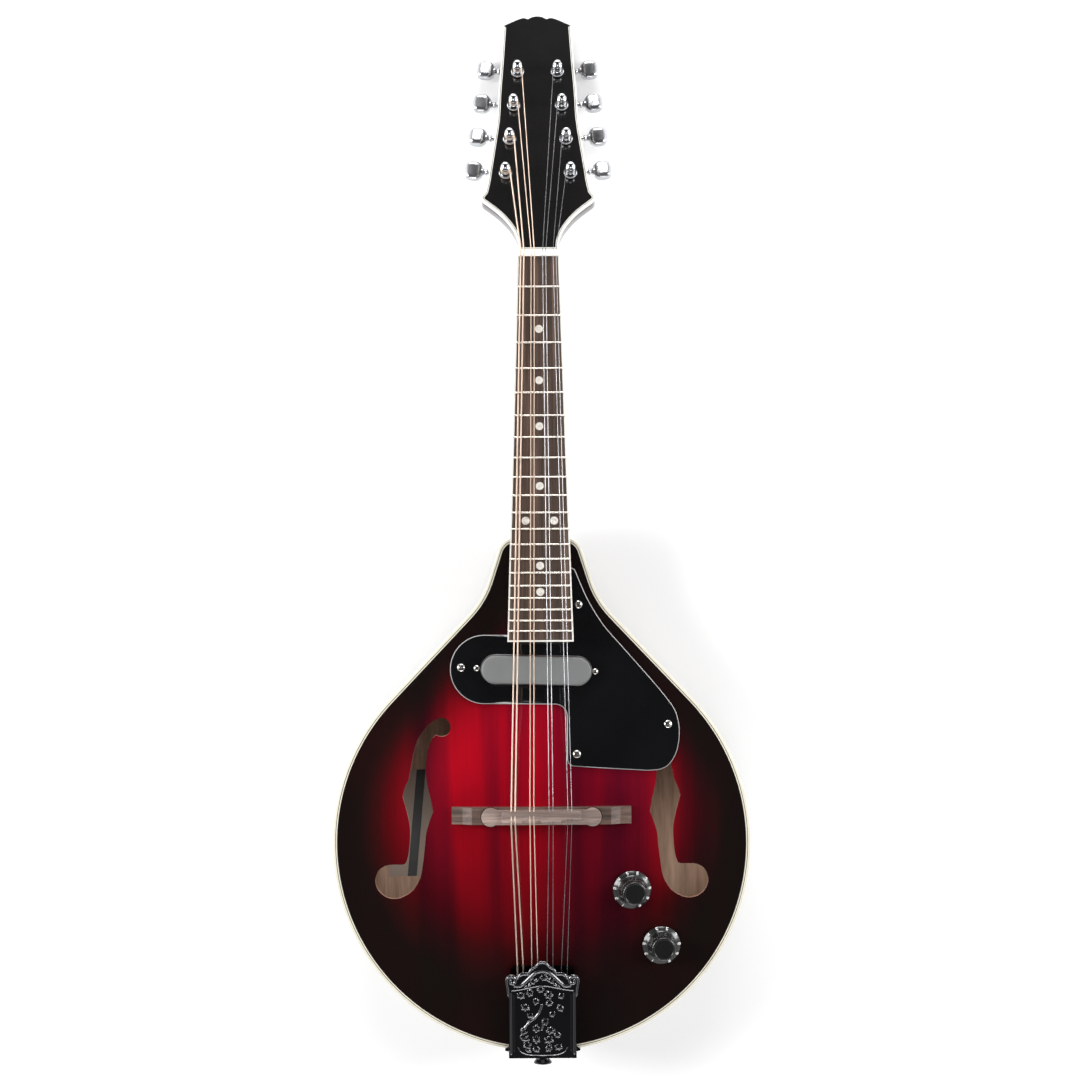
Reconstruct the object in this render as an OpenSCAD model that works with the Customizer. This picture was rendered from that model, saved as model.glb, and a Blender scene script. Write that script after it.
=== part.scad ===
// Acoustic-electric mandolin, lying on its back.
// X is across the body (treble side +), Y runs from the tail to the head, Z points out of the soundboard.
// All sizes are in millimetres.

/* [Body] */
// Radius of the lower bout.
bout_r = 134.2; // [125:0.1:145]
// Y of the centre of the lower bout.
body_y = -197; // [-210:0.5:-180]
// Height of the side wall.
rim_h = 43; // [35:0.5:50]
// Thickness of the side wall.
rim_t = 2.5; // [1.5:0.1:4]
// Thickness of the soundboard and the back.
plate_t = 4; // [2.5:0.1:6]
// How far the soundboard swells above its edge.
top_arch = 12.5; // [6:0.5:18]
// How far the back swells below its edge.
back_arch = 15; // [6:0.5:18]
// Width of the layered binding seen on the soundboard.
binding_w = 3.1; // [1.5:0.1:5]

/* [Neck] */
// Y of the front face of the nut.
nut_y = 180; // [170:0.5:190]
// Height of the fingerboard surface at the nut.
nut_z = 64; // [58:0.5:70]
// Pitch of the neck against the body, in degrees.
neck_angle = 4.4; // [2:0.1:7]
// Scale length from the nut to the theoretical bridge.
scale_length = 352; // [340:1:365]
// Number of frets.
fret_count = 20; // [18:1:24]
// Fingerboard length.
board_l = 248; // [230:1:270]
// Fingerboard width at the nut.
board_w0 = 27; // [25:0.5:32]
// Fingerboard width at its body end.
board_w1 = 42.2; // [38:0.1:46]
// Fingerboard thickness.
board_t = 5.5; // [4:0.1:7]

/* [Headstock] */
// Slope of the headstock below the horizontal, in degrees.
head_angle = 16.25; // [12:0.05:20]
// Headstock thickness with its black facing.
head_t = 13.3; // [11:0.1:16]
// Distance between neighbouring string posts.
post_pitch = 24.4; // [20:0.1:26]

/* [Bridge and tailpiece] */
// Length of the bridge base.
bridge_l = 114.5; // [100:0.5:125]
// Width of the bridge base.
bridge_w = 10.9; // [8:0.1:14]
// Distance of each thumbwheel from the centre line.
wheel_x = 32.3; // [28:0.1:36]
// Height of the strings over the saddle.
string_z = 95.9; // [90:0.1:100]
// Width of the tailpiece cover.
cover_w = 43.4; // [36:0.2:50]
// Rise of the tailpiece towards the bridge, in degrees.
tail_angle = 9; // [5:0.5:14]

/* [Electronics] */
// Diameter of the knob skirts.
knob_d = 24.5; // [18:0.5:28]
// Length of the pickup.
pickup_l = 70; // [60:1:80]
// Width of the pickup.
pickup_w = 17.6; // [12:0.2:22]
// Thickness of the pickguard.
guard_t = 1.8; // [1:0.1:3]

/* [Hidden] */
back_z = back_arch;
rim_z = back_z + plate_t;
edge_z = rim_z + rim_h + plate_t;
top_c = [0, 19];
end_y = 195.8;
head_y = nut_y + 4.2 * cos(neck_angle) - 3.6 * sin(neck_angle);
head_z = nut_z - 4.2 * sin(neck_angle) - 3.6 * cos(neck_angle);
post_x = 21.1;
post_y = 54.5;
column_angle = 6.28;
jack_angle = -40;
nut_x = [-11.4, -9.4, -4.7, -2.7, 2.7, 4.7, 9.4, 11.4];
saddle_x = [-19.25, -16.75, -7.35, -4.85, 4.85, 7.35, 16.75, 19.25];
saddle_y = [17.4, 17.4, 19.6, 19.6, 17.4, 17.4, 19.6, 19.6];
hook_x = [-15.4, -11.5, -6.6, -2.6, 2.6, 6.6, 11.5, 15.4];
gauge_r = [0.48, 0.48, 0.31, 0.31, 0.2, 0.2, 0.16, 0.16];
knob_spots = [[57.4, -29.2, 73.1, 8.5, -38], [76.4, -65.6, 67.75, 6.1, -44]];
button_turn = [[8, -6, 5, -4], [-6, 7, -4, 9]];

// ---- outlines ----

function unit(v) = v / norm(v);

function arc(cx, cy, r, a0, a1, n) =
    [for (i = [0:n]) let (a = a0 + (a1 - a0) * i / n) [cx + r * cos(a), cy + r * sin(a)]];

// Rounds the corner q between p and s with radius r.
function fillet(p, q, s, r, n) =
    let (
        u = unit(p - q),
        v = unit(s - q),
        half = acos(u * v) / 2,
        c = q + unit(u + v) * r / sin(half),
        a = q + u * r / tan(half) - c,
        b = q + v * r / tan(half) - c,
        a0 = atan2(a[1], a[0]),
        w = atan2(b[1], b[0]) - a0,
        turn = w > 180 ? w - 360 : w < -180 ? w + 360 : w
    )
    [for (i = [0:n]) let (g = a0 + turn * i / n) c + r * [cos(g), sin(g)]];

// Smooth curve through the points p, n steps between neighbours.
function curve(p, n) = concat(
    [for (i = [0:len(p) - 2], k = [0:n - 1])
        let (
            t = k / n,
            a = p[max(i - 1, 0)],
            b = p[i],
            c = p[i + 1],
            d = p[min(i + 2, len(p) - 1)]
        )
        (2 * b + (c - a) * t + (2 * a - 5 * b + 4 * c - d) * t * t
            + (3 * b - a - 3 * c + d) * t * t * t) / 2],
    [p[len(p) - 1]]);

function mirrored(p) = [for (i = [len(p) - 1:-1:0]) [-p[i][0], p[i][1]]];

// Moves a counter-clockwise closed outline inwards by d.
function inset(p, d) = [for (i = [0:len(p) - 1])
    let (
        u = unit(p[i] - p[(i + len(p) - 1) % len(p)]),
        v = unit(p[(i + 1) % len(p)] - p[i]),
        m = u + v
    )
    p[i] + d * [-m[1], m[0]] * 2 / (m * m)];

waist = [37, 156.2];
shoulder = [24.3, end_y];
side_line = concat(
    arc(0, 0, bout_r, -87.8, 43.4, 30),
    fillet([97.5, 92.2], waist, shoulder, 60, 6),
    fillet(waist, shoulder, [0, end_y], 12, 5));
body_line = concat([[0, -bout_r]], side_line, mirrored(side_line));

head_side = concat(
    curve([[12.9, 0.6], [13.2, 6.7], [15.5, 13.6], [20, 20.6], [26.5, 27.6], [35.6, 34.9]], 3),
    [[36.8, 37.8]],
    curve([[34.3, 41.7], [32.6, 50], [30.8, 63], [26.8, 91.5], [25.6, 113], [24, 135], [22.4, 161]], 2),
    curve([[14, 165.2], [10.5, 166.5], [8.4, 166.7], [6.2, 165.9]], 2),
    curve([[3.4, 167.5], [0.8, 168]], 2));
head_line = concat(head_side, mirrored(head_side));

hole_side = concat(
    curve([[-70, 79.5], [-75.1, 73.4], [-79.4, 65.7], [-82.4, 55.5], [-83.3, 46.1], [-85.4, 38],
        [-89, 31]], 2),
    curve([[-86.3, 22.1], [-84.5, 12], [-84.7, 2], [-85.4, -8.7], [-88, -12.6], [-97.8, -13],
        [-105.1, -16.4], [-107, -23.3], [-104.2, -30.1], [-96.6, -34.8], [-88.8, -33.6], [-82, -27.5],
        [-78.6, -21], [-76, -11.3], [-74.3, 1.5], [-73.4, 12], [-68.9, 22.5]], 2),
    curve([[-70.9, 32.4], [-73, 43.5], [-73.4, 52], [-72.1, 62], [-68.3, 69.1]], 2));

guard_line = concat(
    arc(-36.2, 111.7, 22, 90, 270, 16),
    fillet([-36, 89.7], [16.5, 89.3], [16.5, 50], 7.5, 5),
    fillet([16.5, 89], [16.5, 50.3], [68, 46.6], 5, 5),
    curve([[68, 46.6], [76, 47.2], [81.9, 50.3], [86.9, 58.4], [88.9, 71], [86.8, 83.3], [80.6, 93.1],
        [68.5, 107.7], [51.5, 127.1], [40.6, 139.8], [30.5, 156.3], [23, 173.7]], 3),
    [[21.5, 176], [19.5, 176.4], [16.8, 176.4], [16.8, 133.7]]);

// ---- arched plates ----

function swell(s) = (1 + cos(180 * pow(s, 1.3))) / 2;

// Share of the way out to an outline point d away that contour s has reached: round near the middle of the
// plate, and the shape of the outline at its edge.
function spread(s, d) = s * (bout_r + (d - bout_r) * s * s) / d;

// Solid between two copies of the arched surface over outline p, at heights lo and hi from it.
module arched(p, c, z0, h, lo, hi) {
    n = len(p);
    m = 12;
    last = 1 + m * n;
    function ring(e) = concat([[c[0], c[1], z0 + h + e]],
        [for (j = [1:m], i = [0:n - 1])
            let (q = c + (p[i] - c) * spread(j / m, norm(p[i] - c)))
            [q[0], q[1], z0 + h * swell(j / m) + e]]);
    function at(j, i) = 1 + (j - 1) * n + i % n;
    polyhedron(
        points = concat(ring(hi), ring(lo)),
        faces = concat(
            [for (i = [0:n - 1]) [0, at(1, i + 1), at(1, i)]],
            [for (j = [1:m - 1], i = [0:n - 1]) [at(j, i), at(j, i + 1), at(j + 1, i + 1)]],
            [for (j = [1:m - 1], i = [0:n - 1]) [at(j, i), at(j + 1, i + 1), at(j + 1, i)]],
            [for (i = [0:n - 1]) [last, last + at(1, i), last + at(1, i + 1)]],
            [for (j = [1:m - 1], i = [0:n - 1])
                [last + at(j, i), last + at(j + 1, i + 1), last + at(j, i + 1)]],
            [for (j = [1:m - 1], i = [0:n - 1])
                [last + at(j, i), last + at(j + 1, i), last + at(j + 1, i + 1)]],
            [for (i = [0:n - 1]) [at(m, i), at(m, i + 1), last + at(m, i + 1)]],
            [for (i = [0:n - 1]) [at(m, i), last + at(m, i + 1), last + at(m, i)]]));
}

module over_top(lo, hi) {
    arched(inset(body_line, binding_w), top_c, edge_z, top_arch, lo, hi);
}

module over_back(lo, hi) {
    arched(inset(body_line, 1.6), [0, 0], back_z, -back_arch, lo, hi);
}

// ---- places ----

module at_body() {
    translate([0, body_y, 0]) children();
}

module at_neck() {
    translate([0, nut_y, nut_z]) rotate([-neck_angle, 0, 0]) children();
}

module at_head() {
    translate([0, head_y, head_z]) rotate([-head_angle, 0, 0]) children();
}

// Frame of one row of tuners, on the treble side (1) or the bass side (-1).
module at_column(side) {
    at_head() mirror([side < 0 ? 1 : 0, 0, 0]) translate([post_x, post_y, 0])
        rotate([0, 0, column_angle]) children();
}

module at_knob(k) {
    p = knob_spots[k];
    at_body() translate([p[0], p[1], p[2]]) rotate([0, p[3], p[4]]) children();
}

module at_jack() {
    at_body() rotate([0, 0, jack_angle]) translate([bout_r, 0, rim_z + rim_h / 2])
        rotate([0, 90, 0]) children();
}

module at_tail() {
    at_body() translate([0, -bout_r - 0.2, edge_z + 0.4]) rotate([tail_angle, 0, 0]) children();
}

module at_pickup() {
    at_body() translate([-2.8, 111.2, 0]) rotate([0, 0, -1.5]) children();
}

function neck_point(x, y, z) = [x, nut_y + y * cos(neck_angle) + z * sin(neck_angle),
    nut_z - y * sin(neck_angle) + z * cos(neck_angle)];

function head_point(x, y, z) = [x, head_y + y * cos(head_angle) + z * sin(head_angle),
    head_z - y * sin(head_angle) + z * cos(head_angle)];

function tail_point(x, y, z) = [x,
    body_y - bout_r - 0.2 + y * cos(tail_angle) - z * sin(tail_angle),
    edge_z + 0.4 + y * sin(tail_angle) + z * cos(tail_angle)];

function board_w(y) = board_w0 + (board_w1 - board_w0) * -y / board_l;

function fret_y(n) = -scale_length * (1 - pow(2, -n / 12));

module ring_wall(outer, inner, z0, h) {
    translate([0, 0, z0]) linear_extrude(h) difference() {
        polygon(outer);
        polygon(inner);
    }
}

// Butt joints that divide the side wall and its bindings into lengths.
module butt_joints() {
    for (a = [-60, -30, 0, 30, 45, 77], m = [0, 1]) mirror([m, 0, 0]) rotate([0, 0, a])
        translate([20, -0.01, 0]) cube([200, 0.02, 100]);
    translate([-0.01, -200, 0]) cube([0.02, 420, 100]);
}

// ---- body ----

module soundboard() {
    color("darkred") difference() {
        at_body() over_top(-plate_t, 0);
        at_body() translate([0, 0, 50]) linear_extrude(40) f_holes();
        for (k = [0, 1]) at_knob(k) translate([0, 0, -10]) cylinder(r = 4.6, h = 14, $fn = 32);
        at_body() guard_screw_places() translate([0, 0, -6]) cylinder(r = 1.2, h = 12, $fn = 12);
    }
}

module f_holes() {
    for (m = [0, 1]) mirror([m, 0]) {
        polygon(hole_side);
        translate([-63.6, 75.1]) circle(r = 6, $fn = 40);
    }
}

module back_plate() {
    color("saddlebrown") at_body() over_back(0, plate_t);
}

module rim() {
    color("black") difference() {
        at_body() ring_wall(body_line, inset(body_line, rim_t), rim_z, rim_h);
        at_body() butt_joints();
        at_jack() translate([-4.8, -4.8, -6]) cube([9.6, 9.6, 10]);
        for (s = [-1, 1]) at_jack() translate([-30, s * 4.79 - 0.01, -8]) cube([60, 0.02, 12]);
        at_body() tail_screw_places() translate([0, 0, -6]) cylinder(r = 1.25, h = 10, $fn = 24);
        at_body() translate([0, -bout_r, 35]) rotate([90, 0, 0]) cylinder(r = 2.1, h = 12, center = true, $fn = 32);
    }
}

module kerfed_linings() {
    inner = inset(body_line, 8.5);
    color("burlywood") at_body() difference() {
        for (z = [rim_z, rim_z + rim_h - 8]) ring_wall(inset(body_line, rim_t), inner, z, 8);
        translate([-60, 149.9, 0]) cube([120, 60, 100]);
        translate([-36.1, -150, 0]) cube([72.2, 42.1, 100]);
    }
}

module neck_block() {
    color("peru") at_body() intersection() {
        translate([0, 0, rim_z]) linear_extrude(rim_h) polygon(inset(body_line, rim_t));
        translate([-30, 150, 0]) cube([60, 60, 100]);
    }
}

module tail_block() {
    color("peru") at_body() difference() {
        intersection() {
            translate([0, 0, rim_z]) linear_extrude(rim_h) polygon(inset(body_line, rim_t));
            translate([-36, -150, 0]) cube([72, 42, 100]);
        }
        tail_screw_places() translate([0, 0, -14]) cylinder(r = 1.25, h = 20, $fn = 24);
        translate([0, -bout_r + 8, 35]) rotate([90, 0, 0]) cylinder(r = 2.1, h = 36, center = true, $fn = 32);
    }
}

module tone_bars() {
    color("wheat") at_body() intersection() {
        over_top(-plate_t - 9, -plate_t - 0.02);
        for (side = [-1, 1]) translate([side * 27, 12, 40]) rotate([0, 0, side * 3])
            translate([-3, -90, 0]) cube([6, 180, 50]);
    }
}

module top_binding() {
    color("ivory") at_body() difference() {
        ring_wall(body_line, inset(body_line, binding_w), edge_z - plate_t, plate_t);
        butt_joints();
    }
}

module back_binding() {
    color("ivory") at_body() difference() {
        ring_wall(body_line, inset(body_line, 1.6), back_z, plate_t);
        butt_joints();
    }
}

module inner_label() {
    color("dimgray") at_body() intersection() {
        over_back(plate_t + 0.03, plate_t + 0.4);
        translate([-101, -28, 0]) cube([31, 70.5, 40]);
    }
}

module neck_solid() {
    steps = 18;
    // y, half width, depth and roundness of each section of the shaft, from the body to the nut
    shaft = [[-185, 19.2, 62, 1.4], [-168, 18.6, 58, 1.4], [-164, 18.5, 48, 1.35], [-160, 18.4, 37, 1.25],
        [-155, 18.2, 28, 1.1], [-149, 18.1, 22, 1], [-140, 17.8, 18, 0.9], [-128, 17.4, 16.4, 0.8],
        [-90, 16.2, 15.6, 0.8], [-45, 14.9, 14.6, 0.8], [0, 13.5, 13.5, 0.8]];
    root = [[3, 13.2, 14.6, 0.8], [9, 13.9, 12.9, 0.7], [15, 16.4, 11.9, 0.55], [21, 20, 11.7, 0.4]];
    sections = concat(
        [for (s = shaft) [for (k = [0:steps]) let (t = 180 * k / steps)
            neck_point(s[1] * cos(t), s[0], -board_t - s[2] * pow(sin(t), s[3]))]],
        [for (s = root) [for (k = [0:steps]) let (t = 180 * k / steps)
            head_point(s[1] * cos(t), s[0], -1.6 - s[2] * pow(sin(t), s[3]))]]);
    n = steps + 1;
    count = len(sections);
    polyhedron(
        points = [for (s = sections) each s],
        faces = concat(
            [[for (i = [0:n - 1]) i]],
            [[for (i = [n - 1:-1:0]) (count - 1) * n + i]],
            [for (j = [0:count - 2], i = [0:n - 1])
                [j * n + i, (j + 1) * n + i, j * n + (i + 1) % n]],
            [for (j = [0:count - 2], i = [0:n - 1])
                [j * n + (i + 1) % n, (j + 1) * n + i, (j + 1) * n + (i + 1) % n]]));
    difference() {
        at_head() translate([0, 0, -head_t]) linear_extrude(head_t - 3.5) polygon(head_line);
        at_head() translate([-20, -5, -20]) cube([40, 11, 30]);
    }
    at_head() translate([0, 0, -3.6]) linear_extrude(2) intersection() {
        polygon(inset(head_line, 1.8));
        translate([-40, 3]) square([80, 180]);
    }
    at_neck() translate([-15, -243, -board_t - 12]) cube([30, 80, 12]);
}

module neck() {
    color("saddlebrown") difference() {
        neck_solid();
        at_body() translate([-30, 100, 0]) cube([60, end_y - 100, edge_z + 0.05]);
        at_body() over_top(-40, 0.15);
        translate([-30, -80, 0]) cube([60, 140, 17]);
        at_neck() translate([-3, -168, -board_t - 9]) cube([6, 164, 10]);
        at_neck() translate([-20, 0, -board_t]) cube([40, 4.2, 20]);
        at_head() translate([0, 0, -3.5]) linear_extrude(10) difference() {
            translate([-60, 0]) square([120, 200]);
            polygon(inset(head_line, 1.8));
        }
        for (side = [-1, 1], k = [0:3]) at_column(side) translate([0, k * post_pitch, -30])
            cylinder(r = 4.1, h = 40, $fn = 32);
        for (side = [-1, 1]) at_column(side) plate_screw_places() translate([0, 0, -head_t - 1])
            cylinder(r = 1, h = 8, $fn = 12);
    }
}

module truss_rod() {
    color("gray") at_neck() translate([0, -166, -board_t - 5.8]) rotate([-90, 0, 0])
        cylinder(r = 2.8, h = 160, $fn = 32);
}

module headstock_overlay() {
    color("black") difference() {
        at_head() translate([0, 0, -1.6]) linear_extrude(1.6) polygon(inset(head_line, 1.8));
        for (side = [-1, 1], k = [0:3]) at_column(side) translate([0, k * post_pitch, -4])
            cylinder(r = 3.9, h = 8, $fn = 48);
    }
}

module headstock_binding() {
    color("ivory") at_head() translate([0, 0, -3.5]) linear_extrude(3.5) difference() {
        polygon(head_line);
        polygon(inset(head_line, 1.8));
        translate([-10, -1]) square([20, 5]);
    }
}

// ---- fingerboard ----

function board_line(d) = [[-board_w0 / 2 + d, 0], [board_w0 / 2 - d, 0],
    [board_w1 / 2 - d, d - board_l], [d - board_w1 / 2, d - board_l]];

module dot_places() {
    for (f = [3, 5, 7, 10, 15, 17]) translate([0, (fret_y(f) + fret_y(f - 1)) / 2, 0]) children();
    for (x = [-9.1, 9.1]) translate([x, (fret_y(12) + fret_y(11)) / 2, 0]) children();
}

module fingerboard() {
    color("sienna") at_neck() difference() {
        translate([0, 0, -board_t]) linear_extrude(board_t) polygon(board_line(1));
        dot_places() translate([0, 0, -1.2]) cylinder(r = 2.55, h = 3, $fn = 40);
    }
}

module fingerboard_binding() {
    color("ivory") at_neck() translate([0, 0, -board_t]) linear_extrude(board_t) difference() {
        polygon(board_line(0));
        polygon(board_line(1));
        translate([-board_w0 / 2 + 1, -1]) square([board_w0 - 2, 2]);
    }
}

module frets() {
    crown = [[-0.65, 0], [0.65, 0], [0.6, 0.45], [0.4, 0.8], [0, 0.95], [-0.4, 0.8], [-0.6, 0.45]];
    color("silver") at_neck() for (n = [1:fret_count]) translate([0, fret_y(n), 0]) {
        w = board_w(fret_y(n));
        translate([-w / 2, 0, 0]) rotate([90, 0, 90]) linear_extrude(w) polygon(crown);
    }
}

module position_dots() {
    color("ivory") at_neck() dot_places() translate([0, 0, -1.2]) cylinder(r = 2.55, h = 1.2, $fn = 40);
}

module nut() {
    side = [[0, -board_t], [4.2, -board_t], [4.2, 0.95], [1.2, 1.6], [0.3, 1.7], [0, 1.45]];
    color("ivory") difference() {
        at_neck() translate([-board_w0 / 2, 0, 0]) rotate([90, 0, 90]) linear_extrude(board_w0) polygon(side);
        for (i = [0:7]) groove(i, 2, 3);
    }
}

// ---- tuners ----

module plate_screw_places() {
    for (y = [-9.5, post_pitch + 15.5, 3 * post_pitch + 15.5]) translate([-4, y, 0]) children();
}

module tuner_plates() {
    for (side = [-1, 1]) color("silver") at_column(side) difference() {
        union() {
            translate([-7.4, -13, -head_t - 1.2]) cube([14.8, 3 * post_pitch + 32, 1.2]);
            for (k = [0:3], x = [-7.4, 6]) translate([x, k * post_pitch + 4.2, -head_t - 5.4])
                cube([1.4, 5.4, 5]);
        }
        for (k = [0:3]) {
            translate([0, k * post_pitch, -head_t - 3]) cylinder(r = 3.3, h = 6, $fn = 40);
            translate([-10, k * post_pitch + 6.9, -head_t - 3.3]) rotate([0, 90, 0])
                cylinder(r = 1.58, h = 20, $fn = 32);
        }
        plate_screw_places() translate([0, 0, -head_t - 3]) cylinder(r = 1.1, h = 6, $fn = 24);
    }
}

module tuner_bushings() {
    color("silver") for (side = [-1, 1], k = [0:3]) at_column(side) translate([0, k * post_pitch, 0])
        rotate_extrude($fn = 48) polygon([[3.06, -9], [3.9, -9], [3.9, 0], [4.3, 0], [4.3, 0.9],
            [3.7, 1.6], [3.06, 1.6]]);
}

module tuner_screws() {
    color("silver") for (side = [-1, 1]) at_column(side) plate_screw_places()
        rotate_extrude($fn = 24) polygon([[0, -head_t - 2.3], [1, -head_t - 2.2], [1.9, -head_t - 1.7],
            [2, -head_t - 1.2], [0.9, -head_t - 1.2], [0.9, -head_t + 5], [0, -head_t + 6]]);
}

module tuner_knob(side, k) {
    half = [[0.2, -3.2], [1.6, -5], [3.2, -5.9], [5, -6.1], [8, -6], [9.8, -5.5], [10.9, -4.5], [11.5, -2.9],
        [11.7, 0]];
    plan = concat(half, [for (i = [len(half) - 2:-1:0]) [half[i][0], -half[i][1]]]);
    edge = [[0, -2.4], [2.6, -3.5], [9, -3.4], [11.7, -1.6], [11.7, 1.6], [9, 3.4], [2.6, 3.5], [0, 2.4]];
    color("silver") at_column(side) translate([0, k * post_pitch + 6.9, -head_t - 3.3])
        rotate([button_turn[side < 0 ? 0 : 1][k], 0, 0]) {
        translate([-7.9, 0, 0]) rotate([0, 90, 0]) cylinder(r = 1.5, h = 25, $fn = 32);
        translate([-4.6, 0, 0]) rotate([0, 90, 0]) cylinder(r = 1.9, h = 9.2, $fn = 32);
        translate([12.6, 0, 0]) rotate([0, 90, 0]) cylinder(r1 = 1.9, r2 = 2.3, h = 1.4, $fn = 32);
        translate([14, 0, 0]) rotate([0, 90, 0]) cylinder(r1 = 1.6, r2 = 2.6, h = 2.8, $fn = 32);
        translate([16.3, 0, 0]) intersection() {
            translate([0, 0, -5]) linear_extrude(10) polygon(plan);
            rotate([90, 0, 0]) translate([0, 0, -10]) linear_extrude(20) polygon(edge);
        }
    }
}

module string_post(side, k) {
    color("silver") at_column(side) translate([0, k * post_pitch, 0]) difference() {
        rotate_extrude($fn = 40) polygon([[0, -head_t - 6.2], [1.8, -head_t - 6.1], [2.3, -head_t - 5.6],
            [2.3, -head_t - 5.2], [4.85, -head_t - 5.2], [4.85, -head_t - 1.4], [3, -head_t - 1.4],
            [3, 4], [2.35, 4.8], [2.3, 6.4], [2.4, 8.2], [3, 9], [3, 10.2], [1.7, 10.9], [1.6, 11.4],
            [2.2, 11.9], [2.3, 12.6], [2, 13.3], [1.2, 13.7], [0, 13.8]]);
        translate([0, 0, 7.6]) rotate([0, 90, 0]) cylinder(r = 0.6, h = 10, center = true, $fn = 16);
    }
}

// ---- bridge ----

module bridge_base() {
    half = bridge_l / 2;
    color("saddlebrown") difference() {
        at_body() translate([0, top_c[1] + bridge_w / 2, 0]) rotate([90, 0, 0]) linear_extrude(bridge_w)
            polygon([[-half, 70], [half, 70], [half, 79.2], [half - 7, 80.4], [half - 13, 84],
                [wheel_x - 9, 84.6], [-wheel_x + 9, 84.6], [13 - half, 84], [7 - half, 80.4], [-half, 79.2]]);
        at_body() over_top(-30, 0.05);
        at_body() for (x = [-wheel_x, wheel_x]) translate([x, top_c[1], 79.5])
            cylinder(r = 1.55, h = 20, $fn = 32);
    }
}

module bridge_posts() {
    color("silver") at_body() for (x = [-wheel_x, wheel_x]) translate([x, top_c[1], 79.6])
        cylinder(r = 1.5, h = 11.6, $fn = 32);
}

module saddle_plan(w) {
    translate([-wheel_x, -w / 2]) square([2 * wheel_x, w]);
    for (x = [-wheel_x, wheel_x]) translate([x, 0]) circle(r = 5.7, $fn = 48);
}

module bridge_saddle() {
    crest = [[-25, 4.4], [-25, -2.4], [-13.2, -2.4], [-12, -0.4], [-1, -0.4], [0.2, -2.4], [11.8, -2.4],
        [13, -0.4], [25, -0.4], [25, 4.4]];
    color("saddlebrown") difference() {
        at_body() translate([0, top_c[1], 0]) {
            translate([0, 0, 89]) linear_extrude(4.2) saddle_plan(9.3);
            translate([0, 0, 93]) linear_extrude(3.1) polygon(crest);
        }
        at_body() for (x = [-wheel_x, wheel_x]) translate([x, top_c[1], 88])
            cylinder(r = 1.58, h = 4.8, $fn = 32);
        for (i = [0:7]) groove(i, 1, 1);
    }
}

module thumbwheel(side) {
    color("silver") at_body() translate([side * wheel_x, top_c[1], 86.5]) difference() {
        cylinder(r = 6.4, h = 2.3, $fn = 60);
        translate([0, 0, -1]) cylinder(r = 1.57, h = 5, $fn = 40);
        for (i = [0:29]) rotate([0, 0, i * 12]) translate([6.6, 0, -1]) cylinder(r = 0.4, h = 5, $fn = 12);
    }
}

// ---- tailpiece ----

module tail_screw_places() {
    for (p = [[-9, 56], [9, 56], [-9, 44], [9, 44]])
        translate([0, 0, p[1]]) rotate([0, 0, p[0] * 0.42]) translate([0, -bout_r, 0]) rotate([90, 0, 0])
            children();
}

module tailpiece_base() {
    color("dimgray") {
        difference() {
            at_tail() translate([0, 0, 0]) linear_extrude(1.2) polygon([[-15, -1.2], [15, -1.2], [18, 0],
                [24.1, 1.2], [24.1, 2.4], [21.4, 4], [20.4, 12], [20.4, 56], [18.4, 58], [-18.4, 58], [-20.4, 56],
                [-20.4, 12], [-21.4, 4], [-24.1, 2.4], [-24.1, 1.2], [-18, 0]]);
            at_tail() translate([-12, 18, -1]) cube([24, 12, 4]);
        }
        at_body() difference() {
            translate([0, 0, 26]) intersection() {
                difference() {
                    cylinder(r = bout_r + 1.3, h = edge_z - 25.2, $fn = 240);
                    translate([0, 0, -1]) cylinder(r = bout_r + 0.1, h = 60, $fn = 240);
                }
                translate([-15, -bout_r - 5, 0]) cube([30, 12, 60]);
            }
            tail_screw_places() translate([0, 0, -2]) cylinder(r = 1.25, h = 6, $fn = 24);
            translate([0, -bout_r, 35]) rotate([90, 0, 0]) cylinder(r = 2.1, h = 12, center = true, $fn = 32);
        }
        at_tail() for (x = hook_x) translate([x, 41, 1]) cylinder(r = 0.9, h = 3.2, $fn = 24);
    }
}

module cover_plan() {
    edge = concat([[cover_w / 2, -1.8], [cover_w / 2, 39.4]],
        curve([[22.8, 39.9], [22.9, 41.6], [23, 44.5], [23.8, 48.5], [23.2, 52], [20.6, 53.9], [17.6, 53.5]], 2),
        curve([[16, 52.8], [14.4, 54.6], [12, 55.4], [9.2, 55.2]], 2),
        curve([[8.2, 57.4], [6.2, 59], [4.4, 60.2], [2.6, 62.3], [0.6, 63]], 2));
    polygon(concat(edge, mirrored(edge)));
}

module tailpiece_cover() {
    color("dimgray") at_tail() {
        translate([0, 0, 6.4]) linear_extrude(1) cover_plan();
        for (s = [-1, 1]) translate([s * (cover_w / 2 - 0.45) - 0.45, -1.8, 1.5]) cube([0.9, 44, 5.4]);
        translate([-cover_w / 2, -1.8, 1.5]) cube([cover_w, 0.9, 5.4]);
    }
}

module tailpiece_screws() {
    color("silver") at_body() tail_screw_places() rotate_extrude($fn = 32)
        polygon([[0, -12], [1.2, -11], [1.2, 1.4], [2.6, 1.4], [2.5, 2], [1.8, 2.7], [0, 3]]);
}

module strap_button() {
    color("dimgray") at_body() translate([0, -bout_r, 35]) rotate([90, 0, 0]) rotate_extrude($fn = 48)
        polygon([[0, -22], [2, -20], [2, 1.4], [4.6, 1.4], [4.6, 2.6], [3.4, 4], [3, 6.4], [3.3, 8.6],
            [4.4, 11], [5.95, 13], [5.9, 13.8], [4.6, 14.3], [0, 14.5]]);
}

// ---- pickguard, pickup and controls ----

module guard_screw_places() {
    spots = [[-51.1, 112.9, 67.6], [24.4, 152.9, 66.6], [81.5, 76, 67.9], [22.8, 57.8, 76.8], [-41, 112.5, 68.4],
        [34.8, 110.1, 69.1]];
    for (p = spots) translate([p[0], p[1], p[2]]) children();
}

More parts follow.
